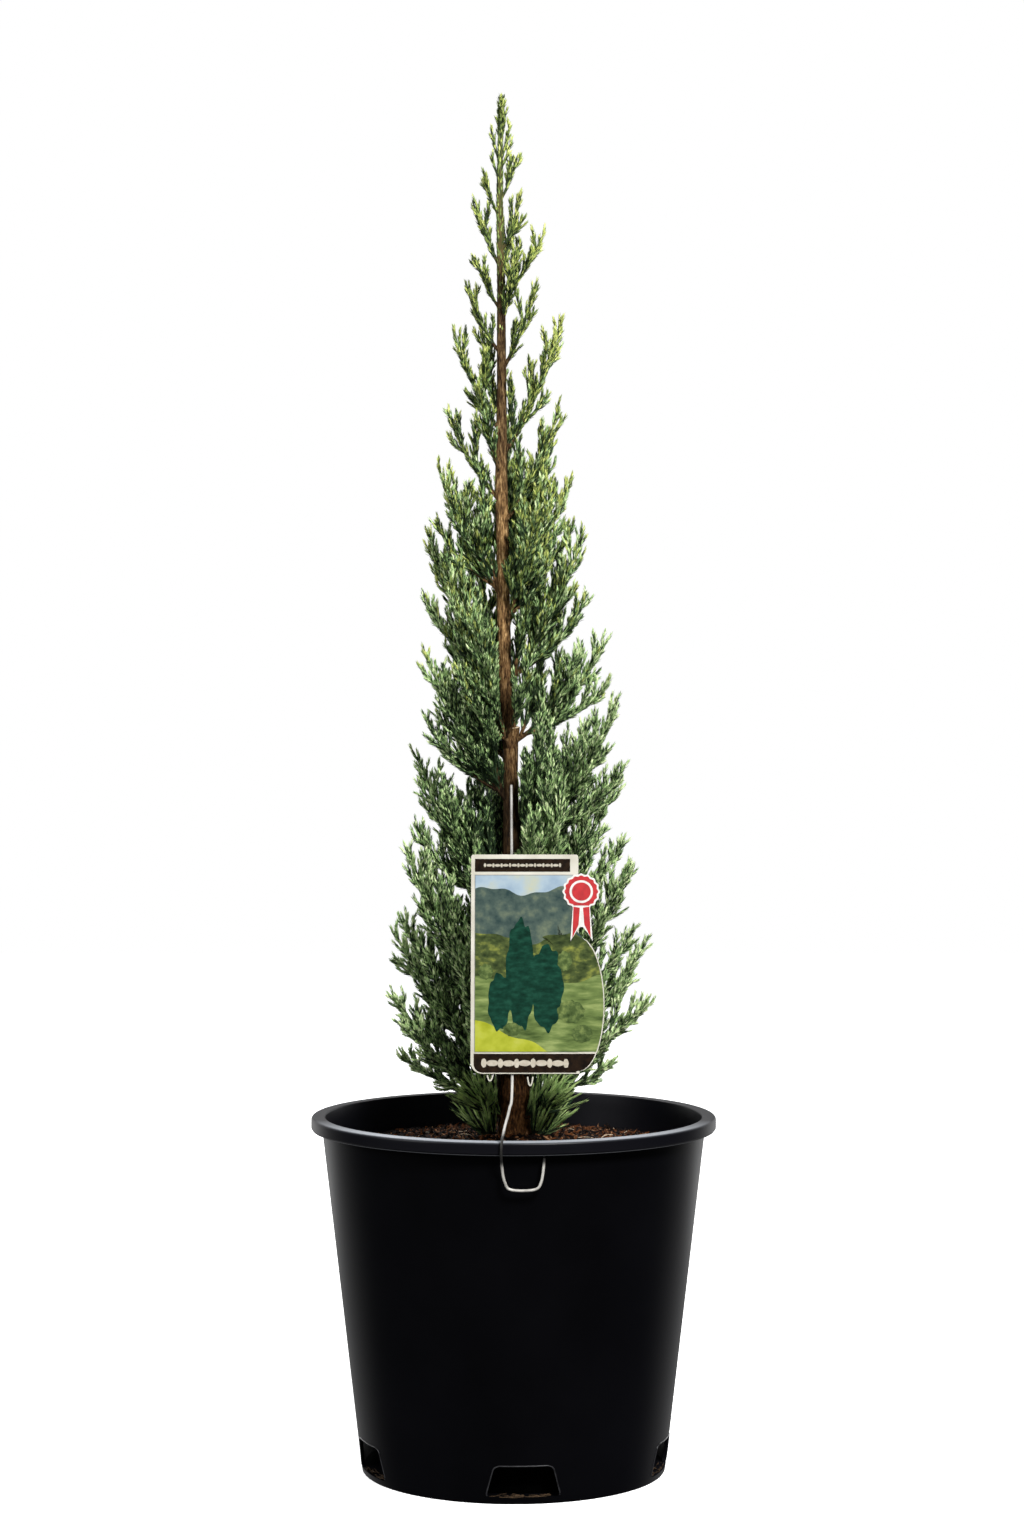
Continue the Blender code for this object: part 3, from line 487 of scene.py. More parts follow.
def makeNotchEdges():
    # the rounded edge that a mould leaves round each notch: up one side, across the top, down the other
    rise = np.linspace(pot["notchLow"] + 0.001, pot["notchHigh"], 26)
    half = np.arcsin(notchHalfWidth(rise) / wallRadius(rise))
    across = np.linspace(-half[-1], half[-1], 16)[1:-1]
    height = np.concatenate([rise, np.full(len(across), pot["notchHigh"]), rise[::-1]])
    angle = notchMiddles[:, None] + np.concatenate([-half, across, half[::-1]])
    lines = joined(*around(wallRadius(height) - 0.00005, angle), height)
    points, faces = tubes(lines, np.full(lines.shape[:2], pot["edgeBead"]), 6)
    # the beads' plastic is paler than the pot's, a painted highlight along each notch's edge
    blacks = [(0.010, 0.010, 0.011), (0.030, 0.030, 0.033)]
    edge = patterned("rubbed black plastic", blacks, 300.0, 0.4, specular=0.3)
    addPiece("notchEdges", points, faces, edge)


makePot()
makeNotchEdges()
print("pot made")

mix = {
    "edgeHeight": 0.198,
    "topHeight": 0.2077,
    "topRadius": 0.016,
    "clearance": 0.0004,
    "stepIn": 0.011,
    "sides": 240,
    "rings": 70,
    "lumps": ((0.0011, 240, 50, 3), (0.0008, 620, 90, 4)),  # size, how many a metre, shift and seed
    "chips": 5200,
    "chipSize": (0.0012, 0.0038),
    # share of the chips, how much of the size they have, and colours
    "chipTones": {
        "Dark": (0.56, 1.0, (0.001, 0.0006, 0.0004), (0.008, 0.0034, 0.002)),
        "Brown": (0.32, 1.0, (0.032, 0.010, 0.003), (0.125, 0.044, 0.014)),
        "Tan": (0.12, 0.8, (0.13, 0.058, 0.026), (0.32, 0.170, 0.085)),
    },
    "crumbs": 130,
    "crumbHeap": 26,  # how many of the crumbs lie together at the front left
    "fibres": 70,
    "sillFibres": 150,
    "fibreStations": 7,
    # the pale loop at the front right: its root, way, curl, length and radius
    "paleLoop": ((0.052, -0.030), (0.05, 0.0, 1.3), (0.55, -0.1, -0.75), 0.014, 0.0006),
}


def mixHeight(radius):
    flat = mix["topRadius"]
    share = np.clip((radius - flat) / (insideRadius(mix["edgeHeight"]) - flat), 0.0, 1.0)
    return mix["topHeight"] - (mix["topHeight"] - mix["edgeHeight"]) * share**0.8


def mixTop(x, y):
    # the heap's height plus two sizes of rough lumps
    lumps = 0.0
    for size, many, shift, seed in mix["lumps"]:
        lumps = lumps + size * (lattice(x * many + shift, y * many + shift, seed) - 0.5)
    return mixHeight(np.hypot(x, y)) + lumps


def makeMixBody():
    low, shoulder = pot["floor"] + touchGap, pot["notchHigh"] + 0.004
    foot = insideRadius(low) - mix["stepIn"]
    edge = insideRadius(mix["edgeHeight"]) - mix["clearance"]
    above = (insideRadius(shoulder + 0.006) - mix["clearance"], shoulder + 0.006)
    wall = np.array([(foot, low), (foot, shoulder), above, (edge, mix["edgeHeight"])])
    radius = np.concatenate([wall[:, 0], np.linspace(edge, 0.004, mix["rings"])[1:]])[:, None]
    x, y = around(radius, circle(mix["sides"]))
    z = mixTop(x, y)
    z[: len(wall)] = wall[:, 1:]
    points = np.concatenate([joined(x, y, z).reshape(-1, 3), [(0.0, 0.0, low), (0.0, 0.0, mix["topHeight"])]])
    soil, tree, shader = newFinish("damp bark mix", 0.92, specular=0.1)
    grains = noiseOn(tree, 420.0)
    browns = ((0.3, (0.001, 0.0005, 0.0004)), (0.5, (0.005, 0.002, 0.001)), (0.72, (0.028, 0.011, 0.005)))
    # painted shade inside the pot: the mix darkens from 0.19 m down to 0.06 m
    paintedLowShade = mixOf(tree, zoneOf(tree, 0.06, 0.19), (0.08, 0.08, 0.08), (1.0, 1.0, 1.0))
    brown = mixOf(tree, 1.0, rampOf(tree, grains, browns), paintedLowShade, "MULTIPLY")
    tree.links.new(brown, shader.inputs["Base Color"])
    addBump(tree, shader, grains, 0.6, 0.0006)
    faceSets = [gridFaces(len(radius), mix["sides"], True), poleFans(len(radius), mix["sides"])]
    addPiece("pottingMix", points, faceSets, soil, ["potting_mix"])


def chipShapes(places, sizes, draw):
    # each chip is a bent six-cornered shard: two ends and a ring of four, stretched and turned at random
    count = len(places)
    ring = [(0.1, 0.42, 0.16), (-0.1, 0.1, -0.24), (0.1, -0.42, 0.14), (-0.2, 0.0, 0.30)]
    shapes = np.array([(-1, 0, 0), *ring, (1, 0, 0)]) * draw.uniform(0.65, 1.35, (count, 6, 3))
    spin, tip = draw.uniform(0, math.tau, count), draw.normal(0, 0.45, count)
    along = joined(*around(np.cos(tip), spin), np.sin(tip))
    axes = np.stack([along, *crosswise(along)], 1)
    points = places[:, None] + sizes[:, None, None] * np.einsum("nij,njk->nik", shapes, axes)
    faces = np.array([(0, 1, 4), (0, 4, 3), (0, 3, 2), (0, 2, 1), (5, 4, 1), (5, 3, 4), (5, 2, 3), (5, 1, 2)])
    return points.reshape(-1, 3), (faces + (np.arange(count) * 6)[:, None, None]).reshape(-1, 3)


def scatterOnMix(count, draw, inner=0.011, margin=0.004):
    # places with the same density all over the heap
    edge = insideRadius(mix["edgeHeight"]) - margin
    radius = np.sqrt(draw.uniform(inner**2, edge**2, count))
    x, y = around(radius, draw.uniform(0, math.tau, count))
    return joined(x, y, mixTop(x, y))


def curledFibres(roots, ways, lengths, curls, thick, thin):
    # tubes along parabolas, root + way * t + curl * t squared, with radii from thick to thick * thin
    t, lengths = np.linspace(0, 1, mix["fibreStations"])[:, None], lengths[:, None, None]
    lines = roots[:, None] + ways[:, None] * lengths * t + curls[:, None] * lengths * t**2
    return lines, np.outer(thick, np.linspace(1.0, thin, mix["fibreStations"]))


def makeMixDetail():
    draw = np.random.default_rng(21)
    for tone, (share, size, *colours) in mix["chipTones"].items():
        count = int(mix["chips"] * share)
        sizes = draw.uniform(*mix["chipSize"], count) * size
        points, faces = chipShapes(scatterOnMix(count, draw) + (0, 0, 0.0003), sizes, draw)
        chip = patterned("bark chip " + tone.lower(), colours, 900.0, 0.9, bump=0.0003, specular=0.08)
        addPiece("barkChips" + tone, points, [faces], chip, flat=True)
    creams = [(0.30, 0.21, 0.13), (0.62, 0.50, 0.36)]
    pale = patterned("pale crumbs and fibres", creams, 700.0, 0.8, bump=0.0002, specular=0.3)
    places, heap = scatterOnMix(mix["crumbs"], draw, 0.02), mix["crumbHeap"]
    places[:heap] = joined(draw.normal(-0.058, 0.006, heap), draw.normal(-0.045, 0.012, heap), 0.0)
    places[:, 2] = mixTop(places[:, 0], places[:, 1]) + 0.0005
    crumbs, faces = chipShapes(places, draw.uniform(0.0005, 0.0013, len(places)), draw)
    addPiece("paleCrumbs", crumbs, [faces], pale, flat=True)

    count = mix["fibres"]
    roots = scatterOnMix(count, draw, 0.02, 0.018)
    ways = joined(*around(1.0, draw.uniform(0, math.tau, count)), draw.uniform(0.05, 0.5, count))
    curls = joined(draw.normal(0, 0.4, count), draw.normal(0, 0.4, count), -ways[:, 2] * 1.1)
    lengths, thick = draw.uniform(0.004, 0.013, count), np.full(count, 0.00028)
    (x, y), ways[0], curls[0], lengths[0], thick[0] = mix["paleLoop"]
    roots[0] = (x, y, mixTop(x, y))
    points, faces = tubes(*curledFibres(roots, ways, lengths, curls, thick, 0.35), 4)
    addPiece("paleFibres", points, faces, pale)

    # fine roots lie on the sill of each notch and hang over its edge
    count, sill = mix["sillFibres"], pot["notchLow"]
    edge = wallRadius(sill)
    angle = notchMiddles[np.arange(count) % pot["notchCount"]] + draw.uniform(-0.19, 0.19, count)
    roots = joined(*around(draw.uniform(edge - 0.006, edge - 0.0006, count), angle), sill + 0.0003)
    beside = joined(-np.sin(angle), np.cos(angle), 0.0) * draw.choice((-1.0, 1.0), count)[:, None]
    outward = joined(*around(1.0, angle), 0.0)
    ways = beside * draw.uniform(0.5, 1.0, (count, 1)) + (0, 0, 1) * draw.uniform(0.0, 0.25, (count, 1))
    curls = outward * draw.uniform(-0.1, 0.1, (count, 1)) - (0, 0, 1) * draw.uniform(0.0, 0.25, (count, 1))
    lengths, thick = draw.uniform(0.003, 0.009, count), draw.uniform(0.0002, 0.0004, count)
    lines, radii = curledFibres(roots, ways, lengths, curls, thick, 0.5)
    lines[..., 2] = np.maximum(lines[..., 2], sill + 0.0002)
    reach = np.hypot(lines[..., 0], lines[..., 1])
    lines[..., :2] *= np.minimum(1.0, (edge - 0.0001) / reach)[..., None]
    points, faces = tubes(lines, radii, 4)
    browns = [(0.010, 0.005, 0.002), (0.075, 0.045, 0.022)]
    brown = patterned("fine brown roots", browns, 800.0, 0.85, bump=0.0002, specular=0.2)
    addPiece("sillRoots", points, faces, brown)


makeMixBody()
makeMixDetail()
print("potting mix made")

trunk = {
    # height, sideways place, depth and radius, as in the solids
    "stations": (
        (0.2080, 0.0000, 0.000, 0.0118),
        (0.2180, 0.0000, 0.000, 0.0098),
        (0.2400, 0.0002, 0.000, 0.0087),
        (0.2900, -0.0004, 0.001, 0.0071),
        (0.3500, -0.0014, 0.002, 0.0056),
        (0.4300, -0.0018, 0.001, 0.0044),
        (0.4520, -0.0020, 0.000, 0.0049),
        (0.4760, -0.0050, -0.001, 0.0038),
        (0.5300, -0.0062, -0.001, 0.0041),
        (0.6100, -0.0076, 0.001, 0.0038),
        (0.6700, -0.0074, 0.002, 0.0030),
        (0.7300, -0.0077, 0.001, 0.0025),
        (0.7800, -0.0086, 0.000, 0.0020),
        (0.8220, -0.0082, 0.000, 0.0014),
    ),
    "flareTop": 0.235,
    "flareRibs": 3,
    "flareDepth": 0.14,
    "flareTurn": 0.6,
    "sides": 84,
    "rows": 900,
    "relief": 0.11,  # depth of the bark's furrows, as a share of the radius
    # how many round the trunk, how many a metre up, and their share of the relief
    "furrows": (26, 260, 0.55),
    "plates": (9, 70, 0.45),
    "sway": (0.03, 60),  # how far the grain sways, in turns, and how fast
    "barkTones": (
        (0.35, (0.014, 0.008, 0.004)),
        (0.47, (0.165, 0.087, 0.036)),
        (0.57, (0.420, 0.250, 0.106)),
        (0.69, (0.920, 0.640, 0.330)),
    ),
    # heights, and shares by which loose bark thickens the foot there
    "footCollar": ((0.222, 0.232, 0.258, 0.285), (0.0, 0.30, 0.26, 0.0)),
    # height and tint of the bark there: painted shade and light by height, darker where the crown shades the
    # trunk, with a redder tint at the foot
    "shadeSpan": (0.20, 0.80),
    "shades": (
        (0.212, (0.34, 0.25, 0.18)),
        (0.222, (0.31, 0.22, 0.16)),
        (0.245, (0.23, 0.17, 0.14)),
        (0.320, (0.08, 0.07, 0.06)),
        (0.420, (0.12, 0.11, 0.10)),
        (0.436, (0.57, 0.55, 0.52)),
        (0.457, (0.57, 0.55, 0.52)),
        (0.468, (0.30, 0.27, 0.24)),
        (0.505, (0.76, 0.74, 0.69)),
        (0.540, (0.98, 0.96, 0.90)),
        (0.580, (0.98, 0.97, 0.91)),
        (0.620, (0.52, 0.52, 0.50)),
        (0.655, (0.32, 0.32, 0.31)),
        (0.690, (0.25, 0.25, 0.24)),
    ),
    # the stump of the pruned first leader: its foot, its top, its radius and how much that grows
    "stub": ((-0.0010, -0.0008, 0.4440), (0.0006, -0.0024, 0.4585), 0.0030, 0.0004),
}
trunkFoot, trunkTop = trunk["stations"][0][0], trunk["stations"][-1][0]


def trunkAt(height):
    # sideways place, depth and radius
    heights, *columns = np.array(trunk["stations"]).T
    return [np.interp(height, heights, column) for column in columns]


def trunkLine(height):
    # places on the trunk's line
    return joined(*trunkAt(height)[:2], height)


def trunkSkin(height, angle):
    # radius = station's * (1 + collar) * (1 + the flare's ribs, fading out upwards)
    fade = np.clip((trunk["flareTop"] - height) / (trunk["flareTop"] - trunkFoot), 0.0, 1.0)
    collar = 1 + np.interp(height, *trunk["footCollar"])
    ribs = trunk["flareDepth"] * fade * np.cos(trunk["flareRibs"] * angle + trunk["flareTurn"])
    return trunkAt(height)[2] * collar * (1 + ribs)


def barkFinish(name, light=1.0):
    # long fibres in four browns with dark patches, with painted shade and light by height, and greener near
    # the top
    finish, tree, shader = newFinish(name, 0.85, specular=0.12)
    fibres = noiseOn(tree, 850.0, (1.0, 1.0, 0.20), 5.0, 0.70)
    patches = noiseOn(tree, 120.0, (1.0, 1.0, 0.3), 3.0)
    bark = rampOf(tree, fibres, [(place, np.multiply(tone, light)) for place, tone in trunk["barkTones"]])
    bark = mixOf(tree, rampOf(tree, patches, ((0.42, 0.0), (0.68, 0.38))), bark, (0.052, 0.026, 0.012))
    low, high = trunk["shadeSpan"]
    shades = [((z - low) / (high - low), tint) for z, tint in trunk["shades"]]
    # painted shade and light up the trunk, multiplied into the bark
    bark = mixOf(tree, 1.0, bark, rampOf(tree, zoneOf(tree, low, high), shades), "MULTIPLY")
    bark = mixOf(tree, zoneOf(tree, 0.71, 0.80), bark, (0.085, 0.085, 0.028))
    tree.links.new(bark, shader.inputs["Base Color"])
    addBump(tree, shader, fibres, 0.7, 0.0005)
    return finish


def makeTrunk(finish):
    # rings up the trunk's line; radius = the solid's skin * (1 + relief * furrows), the furrows being
    # ridged noise drawn out along the grain, with longer plates beneath it
    height, angle = np.linspace(trunkFoot, trunkTop, trunk["rows"])[:, None], circle(trunk["sides"])
    far, often = trunk["sway"]
    turn = angle / math.tau + far * np.sin(height * often)
    (many, upwards, fineShare), (wide, long, plateShare) = trunk["furrows"], trunk["plates"]
    fine = 1 - np.abs(2 * lattice(turn * many, height * upwards, 31, many) - 1)
    plates = lattice(turn * wide, height * long, 32, wide)
    rough = fine * fineShare + plates * plateShare - 0.62
    skin = trunkSkin(height, angle) * (1 + trunk["relief"] * rough)
    points = (joined(*around(skin, angle), 0.0) + trunkLine(height)).reshape(-1, 3)
    addPiece("trunkBark", points, closedRings(*skin.shape), finish, ["trunk"], sharpAngle=60)


def makeStub(finish):
    # a short slanted limb with rough sides, cut square, and a pale face just above the cut
    foot, top, least, more = trunk["stub"]
    foot, t, angle = np.array(foot), np.linspace(0, 1, 14)[:, None], circle(36)
    rough = lattice(angle * 18 / math.tau, t * 5, 33, 18) - 0.5
    radius = (least + more * t) * (1 + 0.16 * rough)
    centre = foot + (top - foot) * t
    points = joined(*around(radius, angle), 0.0006 * np.cos(angle - 1.0) * t) + centre[:, None]
    faceSets = closedRings(*radius.shape)
    addPiece("stubBark", points.reshape(-1, 3), faceSets, finish, sharpAngle=50)
    woods = [(0.42, 0.30, 0.17), (0.70, 0.56, 0.36)]
    wood = patterned("cut wood", woods, 1500.0, 0.7, bump=0.0001)
    face = points[-1] * (0.80, 0.80, 1.0) + centre[-1] * (0.20, 0.20, 0.0) + (0, 0, 0.00025)
    both = np.concatenate([face - (0, 0, 0.0004), face])
    addPiece("stubCut", both, closedRings(2, len(angle)), wood, flat=True)


barkBrown = barkFinish("fibrous bark")
makeTrunk(barkBrown)
makeStub(barkBrown)
print("trunk made")

# the solids' plumes, grown again by their rule and carried on to the finest shoots
crown = {
    # bearing in degrees (0 right, 90 back), height of the foot, height of the tip, reach
    "left": (
        (196, 0.772, 0.797, 0.010),
        (158, 0.741, 0.783, 0.016),
        (206, 0.715, 0.746, 0.017),
        (168, 0.688, 0.731, 0.022),
        (198, 0.640, 0.702, 0.031),
        (160, 0.597, 0.655, 0.036),
        (204, 0.538, 0.618, 0.042),
        (158, 0.480, 0.580, 0.050),
        (206, 0.410, 0.503, 0.053),
        (160, 0.338, 0.440, 0.062),
        (204, 0.272, 0.386, 0.070),
        (162, 0.236, 0.330, 0.077),
        (196, 0.224, 0.278, 0.071),
        (218, 0.2165, 0.2345, 0.050),
    ),
    "right": (
        (20, 0.782, 0.809, 0.011),
        (-26, 0.750, 0.784, 0.014),
        (14, 0.722, 0.764, 0.028),
        (-24, 0.678, 0.730, 0.023),
        (16, 0.625, 0.711, 0.039),
        (-22, 0.583, 0.653, 0.038),
        (22, 0.540, 0.612, 0.046),
        (-20, 0.482, 0.580, 0.053),
        (16, 0.448, 0.512, 0.066),
        (-24, 0.376, 0.474, 0.073),
        (24, 0.330, 0.426, 0.073),
        (-18, 0.268, 0.376, 0.077),
        (16, 0.240, 0.322, 0.086),
        (-12, 0.2235, 0.270, 0.063),
        (-40, 0.2165, 0.2320, 0.056),
    ),
    "front": (
        (300, 0.705, 0.752, 0.017),
        (238, 0.612, 0.672, 0.026),
        (302, 0.520, 0.592, 0.040),
        (246, 0.442, 0.530, 0.046),
        (284, 0.305, 0.404, 0.054),
        (260, 0.236, 0.310, 0.062),
    ),
    "back": (
        (64, 0.735, 0.776, 0.015),
        (116, 0.645, 0.708, 0.028),
        (62, 0.550, 0.626, 0.043),
        (118, 0.430, 0.532, 0.056),
        (80, 0.320, 0.432, 0.068),
        (98, 0.232, 0.330, 0.076),
    ),
    "leaderTip": 0.8495,
    "leaderWidth": 0.006,
    # feet and tips (across, height) of the small shoots at the leader's sides
    "leaderShoots": (
        (-0.0096, 0.8085, -0.0138, 0.8265),
        (-0.0070, 0.8090, -0.0024, 0.8285),
        (-0.0072, 0.8030, -0.0018, 0.8180),
        (-0.0092, 0.7960, -0.0132, 0.8085),
        (-0.0084, 0.8190, -0.0098, 0.8330),
        (-0.0076, 0.8200, -0.0054, 0.8350),
        (-0.0082, 0.8240, -0.0088, 0.8400),
        (-0.0078, 0.8250, -0.0066, 0.8420),
    ),
    "leaderClose": 0.0041,  # how far the leader's stem ends below its tip
    "cladAbove": 0.700,  # scale leaves on the trunk itself thicken from here up
    "cladSpan": 0.0045,  # height of one of the stretches that carry them
    "boughFeet": (0.25, 0.55),
    "elbowOut": 0.62,
    "elbowUp": 0.40,
    "limbRadius": (0.0009, 0.0105, 0.68),  # least, share of the plume's length, loss by the tip
    "limbDrawn": 0.84,
    "plumeWidth": (0.0055, 0.175),
    "twigLength": (1.05, 0.62),  # at the stem's foot, and how much is lost towards the tip
    "twigSpread": math.radians(43),
    "goldenTurn": math.radians(137.508),
    "stemEnd": 0.93,
    "linePoints": 13,
    "longLimb": 0.05,  # a longer stem than this has forks and more bare wood
    "bareShares": (0.34, 0.20),  # shares of a long and of a short limb that are brown
    "roomTests": (0.35, 0.6, 0.8, 1.0),  # shares of a shoot at which its room is measured
    "spaceGap": 0.0006,
    # least room above the mix and the rim, behind and above the wire, and below the leader's tip
    "clearances": (0.0012, 0.004, 0.003, 0.006, 0.003),
    "overlap": 0.011,  # how far fine shoots may pass the middle between two plumes
    # lowest, highest and half width of the trunk's open front
    "frontWindows": (
        (0.425, 0.541, 0.0035),
        (0.562, 0.616, 0.0035),
        (0.642, 0.712, 0.0030),
        (0.383, 0.425, 0.0060),
        (0.210, 0.262, 0.0085),
    ),
    "shrinks": (1.0, 0.75, 0.55, 0.38),
}

wire = {
    "radius": 0.00115,
    "drawnRadius": 0.00080,
    # painted shade: dark where it crosses the rim, and greyer up behind the card
    "paintedShadeSpan": (0.200, 0.440),
    "rubbed": ((0.016, 1.0), (0.030, 0.05), (0.095, 0.05), (0.110, 1.0), (0.60, 1.0), (0.80, 0.62)),
    "lean": 0.32,
    "front": -0.1265,
    "top": 0.4247,
}


curveKeys = ("start", "bend", "end")


def bezier(shoots, share):
    # quadratic curve through start, bend and end
    share = np.asarray(share)[..., None]
    start, bend, end = (shoots[key] for key in curveKeys)
    return (1 - share) ** 2 * start + 2 * (1 - share) * share * bend + share**2 * end


def bezierWay(shoots, share):
    share = np.asarray(share)[..., None]
    start, bend, end = (shoots[key] for key in curveKeys)
    return unit((1 - share) * (bend - start) + share * (end - bend))


def alongEach(shoots, shares):
    # several places on each curve
    return bezier({key: shoots[key][:, None] for key in curveKeys}, shares)


def newShoots(start, bend, end, **values):
    # curves with their values, one number standing for all of them
    made = {"start": start, "bend": bend, "end": end, "length": np.linalg.norm(end - start, axis=1)}
    return made | {key: np.full(len(start), value) for key, value in values.items()}


def pick(shoots, which):
    return {key: value[which] for key, value in shoots.items()}


def joinAll(parts):
    return {key: np.concatenate([part[key] for part in parts]) for key in parts[0]}


def makePlumes():
    # each stem: foot on the trunk's line, tip = trunk's line + reach outwards, bend = foot + elbow
    rows, names = [], []
    for name in ("left", "right", "front", "back"):
        for number, row in enumerate(crown[name], 1):
            rows.append((*row, name in ("left", "right")))
            names.append(f"{name}_{number:02d}")
    bearing, foot, tip, reach, atSide = np.array(rows).T
    out = joined(*around(1.0, np.radians(bearing)), 0.0)
    start, end = trunkLine(foot), trunkLine(tip) + reach[:, None] * out
    bend = start + crown["elbowOut"] * reach[:, None] * out
    bend[:, 2] += crown["elbowUp"] * (tip - foot)
    low, high = crown["boughFeet"]
    hasBough = (atSide > 0) & (foot > low) & (foot < high)

    x, y, radius = trunkAt(trunkTop)
    start = np.concatenate([start, [(x, y, trunkTop)]])
    end = np.concatenate([end, [(x + 0.001, y, crown["leaderTip"] - crown["leaderClose"])]])
    bend = np.concatenate([bend, [(start[-1] + end[-1]) / 2]])
    plumes = newShoots(start, bend, end, hasBough=np.append(hasBough, False))
    least, share, _ = crown["limbRadius"]
    plumes["radius"] = least + share * plumes["length"]
    plumes["radius"][-1] = radius
    least, share = crown["plumeWidth"]
    plumes["halfWidth"] = least + share * plumes["length"]
    plumes["halfWidth"][-1] = crown["leaderWidth"]

    # the share of its length at which each stem leaves the trunk's skin
    shares = np.linspace(0.0, 0.5, 501)
    x, y, z = np.moveaxis(alongEach(plumes, shares), -1, 0)
    trunkX, trunkY, skin = trunkAt(z)
    plumes["leave"] = shares[np.argmax(np.hypot(x - trunkX, y - trunkY) > skin + 0.0005, axis=1)]
    plumes["leave"][-1] = 0.0
    return plumes, names


plumes, plumeNames = makePlumes()
fanPlumes = [plumeNames.index("left_14"), plumeNames.index("right_15")]
plumeCount = len(plumes["length"])
leader = plumeCount - 1
shares = plumes["leave"][:, None] + (1 - plumes["leave"][:, None]) * np.linspace(0, 1, crown["linePoints"])
plumeLines = alongEach(plumes, shares)
segmentStarts = plumeLines[:, :-1].reshape(-1, 3)
segmentWays = (plumeLines[:, 1:] - plumeLines[:, :-1]).reshape(-1, 3)
segmentOwner = np.repeat(np.arange(plumeCount), crown["linePoints"] - 1)
segmentRadius = np.repeat(plumes["radius"], crown["linePoints"] - 1)


def lineDistances(points):
    # from each point to each straight stretch of the plumes' lines
    reach = np.maximum((segmentWays**2).sum(1), 1e-12)
    away = points[:, None] - segmentStarts
    share = np.clip((away * segmentWays).sum(2) / reach, 0.0, 1.0)
    return np.linalg.norm(away - share[..., None] * segmentWays, axis=2)


def clearOfTheRest(points, width):
    # outside the trunk, above the mix, inside or above the pot's rim, behind the card and its wire, out of
    # the trunk's open front, and below the leader's tip
    x, y, z = points.T
    trunkX, trunkY, radius = trunkAt(z)
    overMix, overRim, behindWire, overWire, underTip = crown["clearances"]
    out, front = np.hypot(x, y), wire["front"] + wire["lean"] * (z - pot["height"])
    clear = np.hypot(x - trunkX, y - trunkY) > radius * (1 + trunk["flareDepth"]) + width + touchGap
    clear |= z > trunkTop
    clear &= z - mixHeight(out) > width + overMix
    clear &= (out + width < pot["neckRadius"] - 2 * pot["wall"]) | (z > pot["height"] + overRim)
    clear &= (y - width > front + behindWire) | (z > wire["top"] + overWire)
    for low, high, half in crown["frontWindows"]:
        clear &= (z <= low) | (z >= high) | (y >= trunkY) | (np.abs(x - trunkX) >= half + 0.2 * radius)
    return clear & (z < crown["leaderTip"] - underTip)


def roomFor(shoots, width, overlap):
    # a shoot keeps nearer to its own plume's line than to any other, and clear of everything rigid
    held = np.ones(len(shoots["plume"]), bool)
    for test in crown["roomTests"]:
        points = bezier(shoots, test)
        held &= clearOfTheRest(points, width)
        for index in range(plumeCount):
            mine = np.flatnonzero((shoots["plume"] == index) & held)
            if not len(mine):
                continue
            distance, others = lineDistances(points[mine]), segmentOwner != index
            own, other = distance[:, ~others].min(1), distance[:, others]
            room = np.minimum((other - own[:, None]) / 2 + overlap, other - segmentRadius[others]).min(1)
            held[mine[room < width + crown["spaceGap"]]] = False
    return held


def growFrom(parents, places, spread, wanted, kind, width=0.0012, overlap=crown["overlap"]):
    # heading = cos(spread) * way + sin(spread) * radial + lift upwards; the shoot then curls up, and
    # tries shorter lengths until it has room; places are parents' numbers, shares along them and turns
    owner, share, turn = places
    lift, curl, radius, order = growth["kinds"][kind]
    holder = pick(parents, owner)
    root, way = bezier(holder, share), bezierWay(holder, share)
    lean = np.ones((len(share), 1))
    if order > 1:
        bottom, top, least = growth["lowLift"]
        lean = least + (1 - least) * np.clip((root[:, 2:] - bottom) / (top - bottom), 0.0, 1.0)
    up, curl, spread = np.array((0.0, 0.0, 1.0)), curl * lean, spread[:, None]
    heading = unit(np.cos(spread) * way + np.sin(spread) * radialOf(way, turn) + up * (lift * lean))
    grown, left = [], np.arange(len(share))
    for shrink in crown["shrinks"]:
        start, length = root[left], (wanted[left] * shrink)[:, None]
        bend = start + heading[left] * length * 0.5
        end = start + (heading[left] * (1 - curl[left]) + up * curl[left]) * length
        tried = newShoots(start, bend, end, plume=holder["plume"][left], radius=radius, order=order)
        tried["light"], tried["length"] = 0.5 * holder["light"][left] + 0.5 * share[left], length[:, 0]
        held = roomFor(tried, width, overlap)
        grown.append(pick(tried, held))
        left = left[~held]
    return joinAll(grown)


